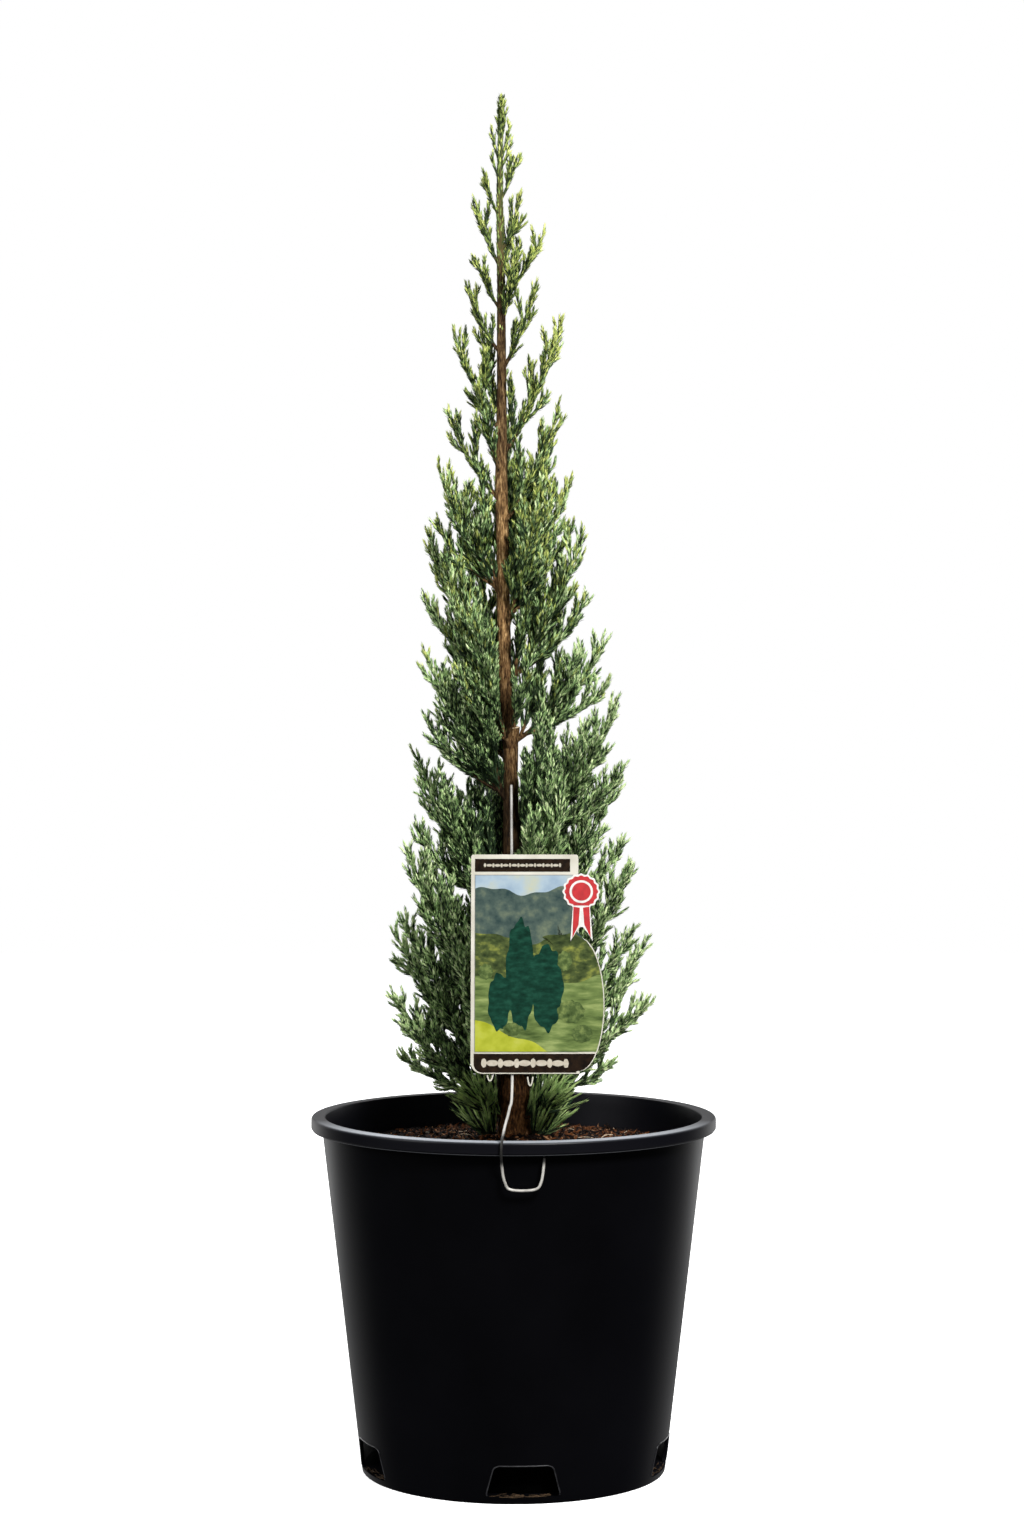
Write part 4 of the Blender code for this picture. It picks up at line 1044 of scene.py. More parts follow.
growth = {
    # side limbs of each plume: place on its limb, shares of its reach and rise, turn of its bearing, and
    # the least share of its reach that runs to the front or back
    "forks": (
        (0.07, 0.46, 1.03, 24, 0.0),
        (0.12, 0.96, 0.60, -16, 0.0),
        (0.20, 0.70, 0.90, -34, 0.0),
        (0.24, 0.80, 1.36, 22, 0.85),
        (0.34, 0.90, 1.20, -26, 0.85),
        (0.14, 0.75, 0.72, 50, 0.85),
    ),
    "forksBelow": 0.63,  # the highest tip of a plume that has them
    "forkBend": (0.80, 0.42),  # how much of its way out and up a fork has made at its bend
    "forkSize": 0.8,  # a fork's radius and half width, as shares of a plume's
    "leaderClosing": (0.34, 0.75),  # how much less the leader's branchlets spread and reach
    "frontOfTrunk": -0.94,  # sine of the bearing past which a fork turns the other way
    # branchlets follow the solids' twigs, set closer in the lower crown
    "branchletSpacing": (0.0027, 0.030),  # least, and share of the stem's covered length
    "openAbove": (0.52, 0.70, 2.3),  # from and to these heights the spacing grows by this factor
    "branchletsTo": 0.90,
    "branchletSpread": (28, 44),  # degrees from the stem's way
    "branchletReach": (0.78, 1.0),  # shares of the solids' half width
    "upperSide": 0.70,  # how much longer one on its stem's upper side grows
    # spacing, length as a share of the parent's, and degrees from the parent's way
    "twigs": (0.0026, 0.52, (12, 25)),
    "shoots": (0.0043, 0.50, (12, 22)),
    "leaderTwigs": (0.00258, 0.34, (12, 22)),
    "twigLength": (0.0035, 0.12, 0.016),  # on a stem: least, share of the stem's length, most
    # length at the parent's foot and what is lost towards its tip, then the range of sizes at random
    "twigSizes": ((1.1, 0.5), (0.75, 1.15)),
    "shootSizes": ((1.1, 0.75), (0.75, 1.2)),
    "shortestShoot": 0.0046,
    "shootsFrom": 0.0085,  # twigs longer than this branch once more
    "fanShoots": 190,  # on each of the two low limbs
    "fanWidth": 0.0006,
    "fanRoots": 0.42,  # the share of the limb that they spring from
    "fanSpread": (10, 74),
    "fanTurn": 0.60,  # spread of their turns about straight up
    "fanLength": (0.046, 0.018),
    "fanOverlap": 0.026,
    "fanRise": 0.45,  # a flatter shoot than this is left out
    # a second set springs from the mix beside the trunk: from and to these distances, and how far in front
    "footShoots": 90,
    "footRow": (0.0115, 0.0200, 0.0075),
    "footSpread": (50, 92),
    "footTurn": 0.45,
    "footScatter": 0.25,
    "footLength": (0.037, 0.013),
    "footOverlap": 0.05,
    "lowLift": (0.28, 0.52, 0.35),  # below these heights twigs turn up less, to this share
    # lift upwards, curl upwards, radius and order of each kind of shoot
    "kinds": {
        "branchlet": (0.30, 0.20, 0.00095, 1),
        "stemTwig": (0.20, 0.16, 0.00085, 2),
        "twig": (0.12, 0.16, 0.00082, 2),
        "shoot": (0.12, 0.10, 0.00072, 3),
        "leaderShoot": (0.12, 0.05, 0.00072, 3),
        "fan": (0.0, -0.04, 0.00034, 3),
        "foot": (0.0, -0.05, 0.00034, 3),
    },
}


def leaderShoots():
    # the small shoots round the leader, each bowed a little outwards
    across, foot, tipAcross, tip = np.array(crown["leaderShoots"]).T
    depth = np.where(np.arange(len(across)) % 2, -0.0012, 0.0012)
    start, end = joined(across, 0.0, foot), joined(tipAcross, 2 * depth, tip)
    bend = (start + end) / 2 + 0.12 * (end - start) * (1, 0, 0)
    return newShoots(start, bend, end, plume=leader, radius=0.0009, order=2, light=0.9)


def numbered(counts):
    # who each of the items belongs to, and its number among its owner's
    owner = np.repeat(np.arange(len(counts)), counts)
    return owner, np.arange(len(owner)) - np.repeat(np.cumsum(counts) - counts, counts)


def spaced(draw, lengths, spacing, first, last, least=2):
    # places along each parent, a golden turn apart: the parents' numbers, shares along them and turns
    counts = np.maximum(least, np.round(lengths * (last - first) / spacing).astype(int))
    owner, number = numbered(counts)
    along = first + (last - first) * (number + draw.uniform(0.2, 0.8, len(owner))) / counts[owner]
    turn = number * crown["goldenTurn"] + draw.uniform(0, math.tau, len(counts))[owner]
    return owner, along, turn


def makeForks():
    # each fork leaves the limb at its place and bows out and up to shares of the plume's reach and rise
    forks = []
    tips = plumes["end"] - plumes["start"]
    facing = np.abs(tips[:, 1]) / np.hypot(tips[:, 0], tips[:, 1])
    mayFork = (plumes["end"][:, 2] < growth["forksBelow"]) & (plumes["length"] > crown["longLimb"])
    mayFork[[leader, *fanPlumes]] = False
    for place, outShare, upShare, turn, aside in growth["forks"]:
        chosen = np.flatnonzero(mayFork & (facing >= aside))
        foot, tip = plumes["start"][chosen], plumes["end"][chosen]
        start = bezier(pick(plumes, chosen), place)
        height = foot[:, 2] + upShare * (tip[:, 2] - foot[:, 2])
        reachX, reachY, _ = (tip - trunkLine(tip[:, 2])).T
        angle = np.radians(turn * np.where(tip[:, 1] > 0, 1, -1) * np.where(tip[:, 0] > 0, 1, -1))
        ahead = np.arctan2(reachY, reachX) + angle
        angle = np.where(np.sin(ahead) < growth["frontOfTrunk"], -angle, angle)
        cosine, sine = around(1.0, angle)
        out = joined(reachX * cosine - reachY * sine, reachX * sine + reachY * cosine, 0.0)
        end = trunkLine(height) + outShare * out
        flat, rise = growth["forkBend"]
        bend = start + (end - start) * (flat, flat, rise)
        fork = newShoots(start, bend, end, plume=chosen, leave=0.02, order=0, light=0.25)
        for key, (least, share) in (("radius", crown["limbRadius"][:2]), ("halfWidth", crown["plumeWidth"])):
            fork[key] = least + growth["forkSize"] * share * fork["length"]
        forks.append(fork)
    return joinAll(forks)


def growFans(fans, draw):
    # from the inner part of each low limb, shoots at all angles between its own way and straight up
    owner = np.repeat(np.arange(len(fans["length"])), growth["fanShoots"])
    along = draw.uniform(0.0, 1.0, len(owner))
    inner = fans["leave"][owner] * 0.9
    share = inner + (growth["fanRoots"] - inner) * along**2
    turn = math.pi + draw.normal(0.0, growth["fanTurn"], len(owner))
    spread = np.radians(draw.uniform(*growth["fanSpread"], len(owner)))
    longest, loss = growth["fanLength"]
    wanted = (longest - loss * along) * draw.uniform(0.55, 1.0, len(owner))
    width = growth["fanWidth"]
    grown = growFrom(fans, (owner, share, turn), spread, wanted, "fan", width, growth["fanOverlap"])
    grown = pick(grown, grown["end"][:, 2] - grown["start"][:, 2] > growth["fanRise"] * grown["length"])

    # the second set's roots lie on a short line along the mix on each side
    draw = np.random.default_rng(29)
    near, far, ahead = growth["footRow"]
    rows = pick(fans, slice(2))
    x, y, _ = trunkAt(rows["start"][:, 2])
    sign = np.where(rows["end"][:, 0] > x, 1.0, -1.0)
    for key, reach in (("start", near), ("bend", (near + far) / 2), ("end", far)):
        rows[key] = joined(x + sign * reach, y - ahead, mixHeight(reach) + 0.0004)
    owner = np.repeat(np.arange(2), growth["footShoots"])
    along = draw.uniform(0.0, 1.0, len(owner)) ** 1.6
    turn = math.pi + draw.normal(0.0, growth["footTurn"], len(owner))
    low, high = np.radians(growth["footSpread"])
    scattered = along + draw.normal(0.0, growth["footScatter"], len(owner))
    spread = high - (high - low) * np.clip(scattered, 0.0, 1.0)
    longest, loss = growth["footLength"]
    wanted = (longest - loss * along) * draw.uniform(0.55, 1.0, len(owner))
    foot = growFrom(rows, (owner, along, turn), spread, wanted, "foot", width, growth["footOverlap"])
    print("  shoots from the mix", len(foot["length"]))
    return joinAll([grown, foot])


def growCrown():
    draw = np.random.default_rng(7)
    limbs = pick(plumes, slice(None)) | {"plume": np.arange(plumeCount), "order": np.zeros(plumeCount, int)}
    limbs["light"] = np.full(plumeCount, 0.3)
    del limbs["hasBough"]
    limbs = joinAll([limbs, makeForks()])
    isFan = np.isin(limbs["plume"], fanPlumes)
    fanShoots = growFans(pick(limbs, isFan), draw)
    leafy = pick(limbs, ~isFan)
    halfWidth, leave = leafy["halfWidth"], leafy["leave"]
    del limbs["halfWidth"], limbs["leave"]

    # branchlets: length = half width / sin(spread) * (first - loss * along ** 1.5), as in the solids
    covered = leafy["length"] * (crown["stemEnd"] - leave)
    least, part = growth["branchletSpacing"]
    low, high, factor = growth["openAbove"]
    openness = 1 + (factor - 1) * np.clip((leafy["end"][:, 2] - low) / (high - low), 0.0, 1.0)
    spacing = (least + part * covered) * openness
    owner, along, turn = spaced(draw, covered, spacing, 0.04, growth["branchletsTo"], 3)
    share = leave[owner] + (crown["stemEnd"] - leave[owner]) * along
    first, loss = crown["twigLength"]
    wanted = halfWidth[owner] / math.sin(crown["twigSpread"]) * (first - loss * along**1.5)
    wanted = wanted * draw.uniform(*growth["branchletReach"], len(owner))
    wanted = wanted * (1 + growth["upperSide"] * np.clip(-np.cos(turn), 0.0, 1.0) * (1 - along))
    spread = np.radians(draw.uniform(*growth["branchletSpread"], len(owner)))
    closing = np.array(growth["leaderClosing"])[:, None]
    closer, shorter = np.where(leafy["plume"][owner] == leader, closing, 1.0)
    branchlets = growFrom(leafy, (owner, share, turn), spread * closer, wanted * shorter, "branchlet")

    # twigs on the stems and on the branchlets, then shoots on the longer twigs
    least, part, most = growth["twigLength"]
    spacing, _, angles = growth["twigs"]
    owner, along, turn = spaced(draw, leafy["length"], spacing, 0.08, 0.97)
    share = np.maximum(along, leave[owner])
    (first, loss), sizes = growth["twigSizes"]
    wanted = np.minimum(least + part * leafy["length"][owner], most) * (first - loss * along)
    wanted = wanted * draw.uniform(*sizes, len(owner))
    spread = np.radians(draw.uniform(*angles, len(owner)))
    onStems = growFrom(leafy, (owner, share, turn), spread, wanted, "stemTwig")

    def offshoots(parents, kind, spacing, part, angles):
        owner, along, turn = spaced(draw, parents["length"], spacing, 0.12, 0.95)
        (first, loss), sizes = growth["shootSizes"]
        wanted = parents["length"][owner] * part * (first - loss * along) * draw.uniform(*sizes, len(owner))
        wanted = np.clip(wanted, growth["shortestShoot"], most)
        spread = np.radians(draw.uniform(*angles, len(owner)))
        return growFrom(parents, (owner, along, turn), spread, wanted, kind)

    twigs = joinAll([onStems, offshoots(branchlets, "twig", *growth["twigs"])])
    fine = offshoots(pick(twigs, twigs["length"] > growth["shootsFrom"]), "shoot", *growth["shoots"])
    aboutLeader = leaderShoots()
    finest = offshoots(aboutLeader, "leaderShoot", *growth["leaderTwigs"])
    return limbs, joinAll([branchlets, twigs, fine, fanShoots, aboutLeader, finest])


limbs, shoots = growCrown()
print("shoots:", np.bincount(shoots["order"]))


def makeLimbs():
    # each limb and fork runs to its tip and tapers as the solids' limbs do; its inner share is brown
    bare = np.where(limbs["length"] > crown["longLimb"], *crown["bareShares"])[:, None]
    bare[leader] = 0.0
    t = np.linspace(0.0, 1.0, 22)
    inner, outer = bare * t, bare + (1 - bare) * t
    loss, radii, brown = crown["limbRadius"][2], limbs["radius"][:, None] * crown["limbDrawn"], bare[:, 0] > 0
    points, faces = tubes(alongEach(limbs, inner)[brown], (radii * (1 - loss * inner))[brown], 10)
    names = ["bough_" + name for name, has in zip(plumeNames, plumes["hasBough"]) if has]
    addPiece("boughBark", points, faces, barkFinish("young bark", 0.55), names)
    # the green share starts a little slimmer, inside the brown one's end
    return tubes(alongEach(limbs, outer), radii * (1 - loss * outer) * 0.98, 6)


def shootCores(shoots):
    # a three-sided spindle along each shoot: two rings and a point
    rings = []
    for share, size in ((0.0, 1.0), (0.5, 0.85)):
        ring = ringOf(bezierWay(shoots, share), 3)
        rings.append(bezier(shoots, share)[:, None] + shoots["radius"][:, None, None] * size * ring)
    points = np.concatenate([*rings, shoots["end"][:, None]], 1)
    base = (np.arange(len(points)) * 7)[:, None, None]
    quads = np.array([(0, 3, 4, 1), (1, 4, 5, 2), (2, 5, 3, 0)]) + base
    tips = np.array([(3, 6, 4), (4, 6, 5), (5, 6, 3)]) + base
    return points.reshape(-1, 3), [quads.reshape(-1, 4), tips.reshape(-1, 3)]


leaf = {
    "whorlSpacing": 0.00175,
    "perWhorl": 3,
    "length": 0.0042,
    "width": 0.00106,
    "opening": math.radians(11.5),
    "openings": (0.6, 1.4),  # shares of it at random
    "closing": (1.40, 0.45),  # its share at the shoot's foot, less the place along it, and the least share
    "sizes": (0.75, 1.15),
    "turnSpread": 0.25,
    "shoulder": 0.42,  # where the kite is widest, as a share of its length
    "fold": 0.22,
    "lastWhorl": 0.985,
    "needle": (1.6, 0.50, 0.55),  # how much longer, slimmer and closer the low fans' leaves are
    "bareShares": (0.16, 0.04),  # of a limb and of a shoot, without leaves at the foot
    # a leaf's tone, painted light and shade: what all have, how much it pales outwards (painted shade inside
    # the crown, painted light outside), along its bearer and with its bearer's own place, and the spreads
    # from leaf to leaf and from bearer to bearer
    "paler": (0.06, 0.39, 0.26, 0.30, 0.27, 0.12),
    # the crown's radius, and the shade near its middle, at these heights
    "crownRadius": (
        (0.22, 0.27, 0.36, 0.50, 0.65, 0.78, 0.85),
        (0.048, 0.066, 0.076, 0.060, 0.040, 0.015, 0.006),
    ),
    "shade": ((0.28, 0.34, 0.42, 0.465), (0.20, 0.42, 0.42, 0.0)),
    "shadeReach": 0.024,
    "toneSteps": (0.40, 0.70, 0.94),
    "highFrom": (0.46, 0.26),  # where the upper crown's colours begin, and over what height they take over
    "brightFans": (0.72, 0.70),  # painted light and shade on the low fans: the higher, the fewer bright ones, left and right
}


def trunkCladding():
    # straight stretches of the upper trunk that carry whorls of their own, denser towards the top
    low, span = crown["cladAbove"], crown["cladSpan"]
    feet = low + (trunkTop - low) * np.linspace(0, 1, 46)[:-1] ** 0.6
    start, end = trunkLine(feet), trunkLine(feet + span)
    middle, radius = (start + end) / 2, trunkAt(feet)[2]
    return newShoots(start, middle, end, length=span, plume=leader, radius=radius, order=4, light=0.7)


def makeLeaves():
    # whorls of three along every shoot; a leaf is a folded kite: base, two shoulders and tip, leaning
    # `opening` out of its shoot's way and closing up towards the shoot's end
    draw = np.random.default_rng(17)
    bearers, perWhorl = joinAll([limbs, shoots, trunkCladding()]), leaf["perWhorl"]
    bare = np.where(bearers["order"] == 0, *leaf["bareShares"])
    bare[leader] = 0.0
    whorls = np.maximum(3, np.round(bearers["length"] * (1 - bare) / leaf["whorlSpacing"]).astype(int))
    whorls[leader] *= 2
    owner, number = numbered(whorls * perWhorl)
    count, (whorl, place) = len(owner), np.divmod(number, perWhorl)
    share = bare[owner] + (1 - bare[owner]) * (whorl + draw.uniform(0.1, 0.7, count)) / whorls[owner]
    share = np.minimum(share, leaf["lastWhorl"])
    holder = pick(bearers, owner)
    centre, way = bezier(holder, share), bezierWay(holder, share)
    turn = place * math.tau / perWhorl + whorl * math.pi / perWhorl
    radial = radialOf(way, turn + draw.normal(0, leaf["turnSpread"], count))
    fans = np.isin(holder["plume"], fanPlumes)
    longer, slimmer, closer = leaf["needle"]
    first, least = leaf["closing"]
    closing = np.where(fans, closer, np.clip(first - share, least, 1.0))
    opening = (leaf["opening"] * closing * draw.uniform(*leaf["openings"], count))[:, None]
    heading = np.cos(opening) * way + np.sin(opening) * radial
    outward = np.cos(opening) * radial - np.sin(opening) * way
    size = draw.uniform(*leaf["sizes"], count) * (1 - 0.3 * share**3)
    long = (leaf["length"] * size * np.where(fans, longer, 1.0))[:, None]
    wide = (leaf["width"] * size * np.where(fans, slimmer, 1.0))[:, None]
    thick = holder["radius"] * np.where(holder["order"] == 4, 0.95, (1 - 0.5 * share) * 0.75)
    base = centre + radial * thick[:, None]
    fold = outward * wide * leaf["fold"]
    half, shoulder = np.cross(heading, outward) * wide / 2, base + heading * long * leaf["shoulder"]
    points = np.stack([base, shoulder + half - fold, base + heading * long, shoulder - half - fold], 1)

    # tones, painted light and shade: paler the further out the leaf stands and the further along its own
    # shoot, darker near the trunk
    x, y, z = centre.T
    trunkX, trunkY, _ = trunkAt(z)
    out = np.hypot(x - trunkX, y - trunkY)
    least, outwards, onwards, borne, leafSpread, bearerSpread = leaf["paler"]
    score = least + outwards * out / np.interp(z, *leaf["crownRadius"]) + onwards * share
    score = score + borne * holder["light"] + draw.normal(0, leafSpread, count)
    score = score + draw.normal(0, bearerSpread, len(whorls))[owner] + 0.03 * (holder["plume"] == leader)
    score = score - np.exp(-((out / leaf["shadeReach"]) ** 2)) * np.interp(z, *leaf["shade"])
    low, height = leaf["highFrom"]
    high = np.clip((z - low) / height, 0, 1) > draw.random(len(whorls))[owner]
    tone = np.digitize(score, leaf["toneSteps"])
    onLeft = x < trunkX
    groups = {}
    for index, band in enumerate(("Shade", "Middle", "Light", "Pale")):
        for name, chosen in (("Low", ~high), ("High", high)):
            groups["leaves" + band + name] = (tone == index) & chosen & ~fans
    # the fans' leaves come in two copies, painted lit and painted shaded, more lit towards the shoots' tips
    bright = draw.random(len(whorls))[owner] + 0.5 * share > np.where(onLeft, *leaf["brightFans"])
    groups["leavesFansShaded"] = fans & ~bright
    groups["leavesFansLit"] = fans & bright
    return points, groups, onLeft


greens = {
    "leavesShadeLow": ((0.012, 0.027, 0.010), (0.034, 0.066, 0.026)),
    "leavesMiddleLow": ((0.148, 0.254, 0.090), (0.270, 0.412, 0.150)),
    "leavesLightLow": ((0.380, 0.545, 0.218), (0.525, 0.688, 0.312)),
    "leavesPaleLow": ((0.600, 0.720, 0.360), (0.760, 0.850, 0.490)),
    "leavesShadeHigh": ((0.020, 0.036, 0.008), (0.046, 0.075, 0.017)),
    "leavesMiddleHigh": ((0.155, 0.225, 0.050), (0.250, 0.335, 0.086)),
    "leavesLightHigh": ((0.345, 0.410, 0.082), (0.465, 0.530, 0.135)),
    "leavesPaleHigh": ((0.540, 0.600, 0.160), (0.690, 0.730, 0.250)),
    # painted shade and painted light: dark and bright copies of the fans' green
    "leavesFansShaded": ((0.003, 0.011, 0.004), (0.018, 0.050, 0.018)),
    "leavesFansLit": ((0.260, 0.420, 0.130), (0.640, 0.800, 0.320)),
}


def makeFoliage():
    nodes = ["foliage_leader"] + ["foliage_" + name for name in plumeNames]
    stemPoints, stemFaces = makeLimbs()
    leftShoots = shoots["start"][:, 0] < trunkAt(shoots["start"][:, 2])[0]
    # green wood darkened near black: its own green, darkened further as painted shade among the leaves
    woods = [(0.008, 0.018, 0.007), (0.026, 0.046, 0.018)]
    shadeDarkGreenWood = patterned("green wood", woods, 300.0, 0.7, bump=0.0001, specular=0.3)
    addPiece("greenStems", stemPoints, stemFaces, shadeDarkGreenWood, nodes)
    for side, which in (("Left", leftShoots), ("Right", ~leftShoots)):
        corePoints, coreFaces = shootCores(pick(shoots, which))
        addPiece("shootCores" + side, corePoints, coreFaces, shadeDarkGreenWood, nodes)
        print("  cores", side, len(coreFaces[0]) * 2 + len(coreFaces[1]))
    points, groups, onLeft = makeLeaves()
    total = 0
    for name, which in groups.items():
        finish = patterned(name + " green", greens[name], 160.0, 0.55, span=(0.35, 0.65), specular=0.30)
        for side, beside in (("Left", onLeft), ("Right", ~onLeft)):
            kites = points[which & beside]
            corner = (np.arange(len(kites)) * 4)[:, None, None]
            faces = (np.array([(0, 2, 1), (0, 3, 2)]) + corner).reshape(-1, 3)
            addPiece(name + side, kites.reshape(-1, 3), [faces], finish, nodes, flat=True)
            total += len(faces)
            print(" ", name, side, len(faces))
    print("leaf triangles:", total)


makeFoliage()
print("crown made")

card = {
    "ink": 0.55,  # how dark the printed colours come out
    "left": -0.0252,
    "right": 0.0384,
    "low": 0.0403,
    "high": 0.1724,
    "corner": 0.0070,
    "smallCorner": 0.0015,
    "thickness": 0.0008,
    "bulge": (0.0820, 0.0400, 0.0148),  # middle, half height, width
    "loops": ((-0.0138, 0.0050), (0.0096, 0.0078)),  # place across, and how far each hangs down
    "rounding": 0.0006,  # how far the picture stays from the card's round side
    "pictureLeft": -0.0227,
    "pictureRight": 0.0348,
    "picture": (0.0533, 0.1596),
    "rule": 0.0004,
    # lowest, highest, left, right, lower left corner, the beads' height as a share, and their number
    "strips": {
        "cardTopStrip": (0.1618, 0.1697, -0.0230, 0.0335, 0.0004, 0.13, 19),
        "cardLowStrip": (0.0409, 0.0521, -0.0234, 0.0365, 0.0052, 0.20, 11),
    },
    # place across, height, half width, half height and waves round the rim
    "darkShrubs": (
        (0.004, 0.0995, 0.0085, 0.0330, 9),
        (0.0195, 0.0915, 0.0095, 0.0255, 8),
        (-0.0085, 0.0830, 0.0065, 0.0170, 7),
    ),
    "roundShrubs": (
        (0.0335, 0.0770, 0.0080, 0.0068, 9),
        (-0.0165, 0.1010, 0.0042, 0.0046, 8),
        (0.0300, 0.1075, 0.0042, 0.0060, 7),
        (0.0400, 0.0640, 0.0060, 0.0052, 9),
        (-0.0010, 0.0665, 0.0052, 0.0040, 8),
    ),
    "sticker": (0.0400, 0.1495, 0.0112, 0.0300),  # place across, height, radius, how far its tails hang
    "layer": 0.00006,
}
cardFront = wire["radius"] + touchGap + card["thickness"]


def cardPoints(across, up, forward):
    # a place on the leaning card: across, up its lean, and forward of the wire's line
    rise = 1 / math.hypot(1, wire["lean"])
    back = wire["lean"] * rise
    depth = wire["front"] + up * back - forward * rise
    return joined(across, depth, pot["height"] + up * rise + forward * back)


def smoothRoute(points, each):
    # Catmull-Rom: a cubic between each two points whose slopes come from their neighbours
    points = np.array(points)
    padded = np.concatenate([[2 * points[0] - points[1]], points, [2 * points[-1] - points[-2]]])
    a, b, c, d = (padded[k : len(padded) - 3 + k][:, None] for k in range(4))
    t = (np.arange(each) / each)[:, None]
    route = 0.5 * (2 * b + (c - a) * t + (2 * a - 5 * b + 4 * c - d) * t**2 + (3 * b - a - 3 * c + d) * t**3)
    return np.concatenate([route.reshape(-1, 3), points[-1:]])


def makeWire():
    # tucked up under the rim's band, in a loop below it, over the rim and up behind the card
    tuck = -(pot["rimRadius"] - pot["wall"] - wire["radius"] - 0.00045)
    over = -(0.125 + wire["radius"] + 0.00045)
    route = [
        (0.0176, tuck + 0.0013, 0.2145),
        (0.0176, tuck + 0.0013, 0.2070),
        (0.0160, tuck, 0.1955),
        (0.0118, tuck, 0.1910),
        (-0.0016, tuck, 0.1910),
        (-0.0052, tuck, 0.1955),
        (-0.0067, tuck, 0.2030),
        (-0.0073, over, 0.2120),
        (-0.0069, over, 0.2195),
    ]
    behind = [(-0.0052, 0.2280), (-0.0025, 0.2380), (-0.0009, 0.2530), (-0.0010, 0.3400)]
    for across, z in (*behind, (-0.0014, wire["top"])):
        route.append((across, wire["front"] + wire["lean"] * (z - pot["height"]), z))
    line = smoothRoute(route, 10)[None]
    points, faces = tubes(line, np.full(line.shape[:2], wire["drawnRadius"]), 16)
    coating, tree, shader = newFinish("cream coated wire", 0.35)
    creams = ((0.35, (0.26, 0.25, 0.225)), (0.6, (0.46, 0.44, 0.40)))
    # painted shade multiplied into the cream: dark over the rim, greyer behind the card
    rubbed = rampOf(tree, zoneOf(tree, *wire["paintedShadeSpan"]), wire["rubbed"])
    worn = mixOf(tree, 1.0, rampOf(tree, noiseOn(tree, 260.0, (1, 1, 0.3)), creams), rubbed, "MULTIPLY")
    tree.links.new(worn, shader.inputs["Base Color"])
    addPiece("labelWire", points, faces, coating, ["label_wire"], sharpAngle=60)


def plate(name, outline, forward, thickness, finish, replaced=()):
    # an outline of (across, up) places given a thickness on the card's plane, faces out
    across, up = np.asarray(outline).T
    points = np.concatenate([cardPoints(across, up, forward + depth) for depth in (0.0, thickness)])
    way = 1 if np.sum(across * np.roll(up, -1) - np.roll(across, -1) * up) > 0 else -1
    faces = [face[:, ::way] for face in closedRings(2, len(across))]
    addPiece(name, points, faces, finish, replaced, sharpAngle=30)


def bulgeEdge(up):
    # how far the card's round side stands out at a height: half an ellipse
    middle, half, width = card["bulge"]
    return width * np.sqrt(np.clip(1 - ((up - middle) / half) ** 2, 0, 1))


def cardOutline():
    left, right, low, high, corner = (card[key] for key in ("left", "right", "low", "high", "corner"))
    middle, half, width = card["bulge"]
    x, y = around(1.0, np.radians(np.linspace(-90, 90, 61)))
    bulge, small = joined(right + width * x, middle + half * y), card["smallCorner"]
    foot = [*arc((left + corner, low + corner), corner, 180, 270, 12), (right, low)]
    corners = ((right - small, 0), (left + small, 90))
    top = [arc((x, high - small), small, start, start + 90, 5) for x, start in corners]
    return np.concatenate([foot, bulge, *top])


def pictureLayer(name, lowCurve, highCurve, layer, finish, rows=14, left=card["pictureLeft"]):
    # a patch between two curves over u from 0 to 1, its right side following the card's edge
    u, v = np.meshgrid(np.linspace(0, 1, 90), np.linspace(0, 1, rows))
    up = lowCurve(u) + (highCurve(u) - lowCurve(u)) * v
    rounded = np.where(bulgeEdge(up) > 0, card["right"] - card["rounding"] + bulgeEdge(up), 0.0)
    across = left + u * (np.maximum(card["pictureRight"], rounded) - left)
    points = cardPoints(across.ravel(), up.ravel(), cardFront + card["layer"] * layer)
    addPiece(name, points, [gridFaces(*u.shape)], finish)


def blobLayer(name, blobs, layer, finish, steps=64):
    # round tufts: radius = size * (1 + small waves), each a fan round its centre
    angle, ring = circle(steps), np.arange(steps)
    points, faces = [], []
    for index, (across, up, wide, tall, waves) in enumerate(blobs):
        size = 1 + 0.05 * np.sin(angle * waves + index) + 0.03 * np.sin(angle * (waves + 5) + 2 * index)
        x, y = across + wide * size * np.cos(angle), up + tall * size * np.sin(angle)
        forward = cardFront + card["layer"] * (layer + 0.15 * index)
        points.append(cardPoints(np.append(x, across), np.append(y, up), forward))
        start = index * (steps + 1)
        faces.append(joined(start + ring, start + (ring + 1) % steps, start + steps))
    addPiece(name, np.concatenate(points), faces, finish)


def printed(name, scale, stretch, *colours):
    colours = [np.multiply(colour, card["ink"]) for colour in colours]
    return patterned(name, colours, scale, 0.55, stretch, span=(0.28, 0.74), specular=0.02)


def level(height):
    return lambda u: height + 0 * u


def wave(height, size, count, phase):
    # height + size * (a sine with a finer one on it)
    waves = ((size, count, phase), (0.4 * size, count * 2.7, 2 * phase))
    return lambda u: height + sum(tall * np.sin(u * many * math.tau + shift) for tall, many, shift in waves)


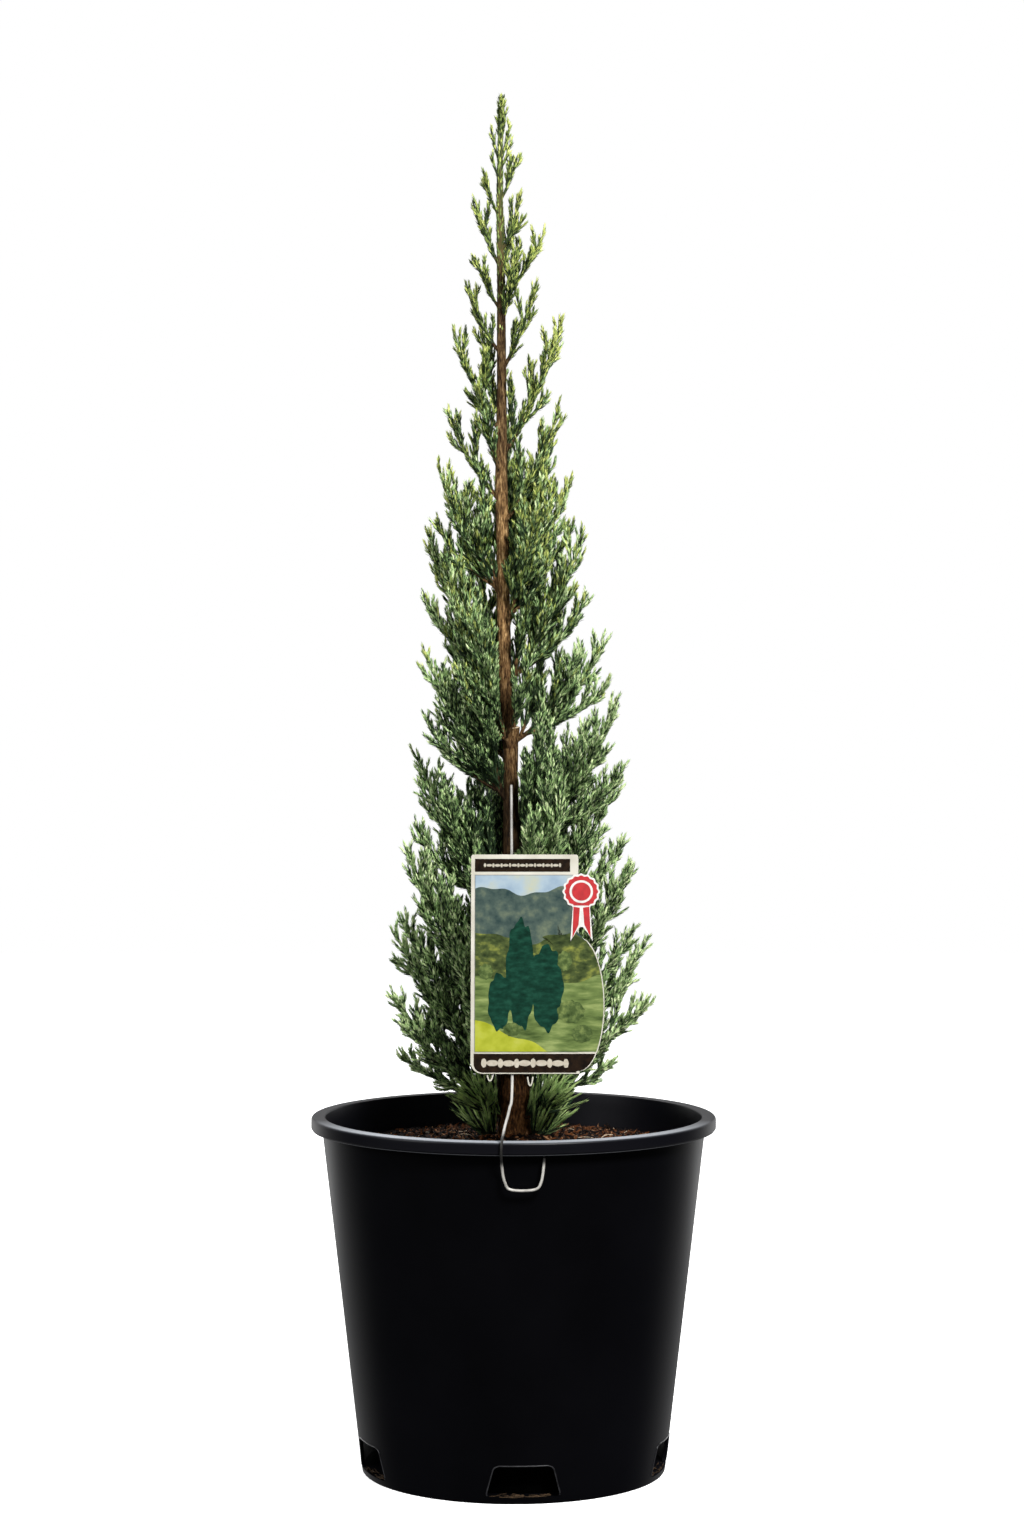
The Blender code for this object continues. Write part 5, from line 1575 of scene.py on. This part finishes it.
def makeCard():
    creams = [(0.37, 0.35, 0.29), (0.46, 0.44, 0.38)]
    stock = patterned("cream card stock", creams, 60.0, 0.45, span=(0.35, 0.65), specular=0.1)
    behind = wire["radius"] + touchGap
    plate("labelCard", cardOutline(), behind, card["thickness"], stock, ["label_card"])
    (low, high), line = card["picture"], card["rule"]
    greys = [(0.10, 0.10, 0.09), (0.18, 0.18, 0.16)]
    edge = patterned("grey printed rule", greys, 300.0, 0.5, specular=0.05)
    left, right, bottom, top = card["pictureLeft"] - line, card["right"] - 0.001, low - line, high + line
    corners = [(left, bottom), (right, bottom), (right, top), (left, top)]
    plate("cardRule", corners, cardFront, card["layer"] * 0.4, edge)

    def lawn(u):
        # a slope down to the right with a small wave, never under the picture's lower edge
        return np.maximum(low, 0.0720 - 0.030 * u + 0.0012 * np.sin(u * 17))

    # the picture's bands from the back forward: upper edge, pattern's scale and stretch, three colours
    crests = ((0.1500, 0.0022, 1.3, 0.4), (0.1230, 0.0040, 0.8, 2.2), (0.0950, 0.0030, 1.1, 0.9))
    far, near, meadow = (wave(*crest) for crest in crests)
    even, flat, flatter = (1.0, 1.0, 1.0), (1.0, 1.0, 1.6), (0.5, 1.0, 2.2)
    looks = (
        ("sky", level(high), 60.0, even, (0.30, 0.42, 0.55), (0.46, 0.58, 0.66), (0.62, 0.62, 0.42)),
        ("far hills", far, 150.0, even, (0.03, 0.06, 0.06), (0.085, 0.125, 0.105), (0.19, 0.23, 0.15)),
        ("near hills", near, 170.0, flat, (0.02, 0.035, 0.012), (0.085, 0.115, 0.035), (0.33, 0.36, 0.07)),
        ("meadow", meadow, 120.0, flatter, (0.05, 0.085, 0.022), (0.17, 0.24, 0.07), (0.38, 0.46, 0.16)),
        ("lawn", lawn, 90.0, even, (0.36, 0.40, 0.02), (0.50, 0.54, 0.05), (0.58, 0.60, 0.12)),
    )
    for layer, (words, curve, *look) in enumerate(looks, 1):
        name = "card" + words.title().replace(" ", "")
        pictureLayer(name, level(low), curve, layer, printed("printed " + words, *look))
    dark = [(0.003, 0.024, 0.014), (0.007, 0.050, 0.030), (0.016, 0.090, 0.055)]
    light = [(0.030, 0.055, 0.014), (0.10, 0.15, 0.045), (0.26, 0.33, 0.10)]
    shrubs = printed("printed dark shrubs", 200.0, (1.0, 1.0, 2.0), *dark)
    blobLayer("cardDarkShrubs", card["darkShrubs"], 6, shrubs)
    blobLayer("cardRoundShrubs", card["roundShrubs"], 7, printed("printed round shrubs", 300.0, even, *light))

    ink = printed("dark brown print", 300.0, even, (0.006, 0.004, 0.003), (0.030, 0.016, 0.008))
    cream = printed("cream print", 500.0, even, (0.52, 0.46, 0.36), (0.74, 0.68, 0.56))
    bottom, top = card["strips"]["cardLowStrip"][:2]
    pictureLayer("cardFootBand", level(bottom), level(top), 1.2, ink, 20, 0.0)
    for name, (bottom, top, left, right, corner, share, count) in card["strips"].items():
        foot = arc((left + corner, bottom + corner), corner, 180, 270, 8)
        corners = [*foot, (right, bottom), (right, top), (left, top)]
        plate(name, corners, cardFront, card["layer"], ink)
        # wide flat beads and small upright ones by turns
        middle, size, beads = (bottom + top) / 2, (top - bottom) * share, []
        for index, across in enumerate(np.linspace(left + 0.006, right - 0.006, count)):
            wide, high = (1.6, 0.8) if index % 2 else (0.7, 1.2)
            beads.append((across, middle, size * wide, size * high, 1))
        blobLayer(name + "Beads", beads, 2, cream, 24)

    # two small wire loops through the card's lower edge
    angle, lines = np.linspace(math.radians(-20), math.radians(-160), 24), []
    for across, reach in card["loops"]:
        up = card["low"] + 0.0008 + reach * np.sin(angle)
        lines.append(cardPoints(across + 0.0016 * np.cos(angle), up, behind + card["thickness"] / 2))
    points, faces = tubes(np.array(lines), np.full((2, 24), 0.00045), 10)
    addPiece("cardLoops", points, faces, stock)


def makeSticker():
    # a scalloped round of white film with two tails, and a red round, a white ring, a red middle and
    # two red ribbons printed on it
    across, up, radius, tail = card["sticker"]
    forward, film, ink = cardFront + touchGap, 0.00044, 0.00004
    angle = np.radians(np.linspace(-62, 242, 91))
    whole = angle * 360 / 304

    def disc(size, angle):
        return joined(*around(size, angle)) + (across, up)

    notches = [(0.0066, 0.0), (0.0032, 0.0055), (0.0008, 0.0085)]
    tails = [(across - x, up - tail + y) for x, y in notches]
    tails += [(across + x, up - tail + y) for x, y in notches[::-1]]
    body = np.concatenate([disc(radius * (0.965 + 0.035 * np.cos(angle * 16)), angle), tails])
    whites, reds = [(0.44, 0.43, 0.40), (0.54, 0.53, 0.50)], [(0.25, 0.004, 0.007), (0.36, 0.008, 0.010)]
    white = patterned("white sticker film", whites, 300.0, 0.4, span=(0.35, 0.65), specular=0.2)
    red = patterned("red print", reds, 260.0, 0.4, span=(0.35, 0.65), specular=0.15)
    plate("stickerFilm", body, forward, film, white, ["label_sticker"])
    inner = radius * (0.86 + 0.03 * np.cos(angle * 16))
    # in tenths of a millimetre; the last three hang from the tail's lower end
    ribbon = np.array([(9, -98), (47, -92), (54, 20), (33, 64), (17, 98)]) / 1e4
    ribbon[2:, 1] -= tail
    for name, outline, out, thickness, finish in (
        ("stickerRed", disc(inner, angle), film, ink, red),
        ("stickerRing", disc(0.62 * radius, whole)[:-1], 0.00048, 0.00003, white),
        ("stickerCentre", disc(0.50 * radius, whole)[:-1], 0.00051, 0.00003, red),
        ("stickerTailLeft", ribbon * (-1, 1) + (across, up), film, ink, red),
        ("stickerTailRight", ribbon + (across, up), film, ink, red),
    ):
        plate(name, outline, forward + out, thickness, finish)


makeWire()
makeCard()
makeSticker()
print("card made")

lowest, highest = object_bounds()
spans = [[round(1000 * (b - a), 1) for a, b in zip(*box)] for box in ((lowest, highest), cadBox)]
print("size", spans[0], "from", spans[1])
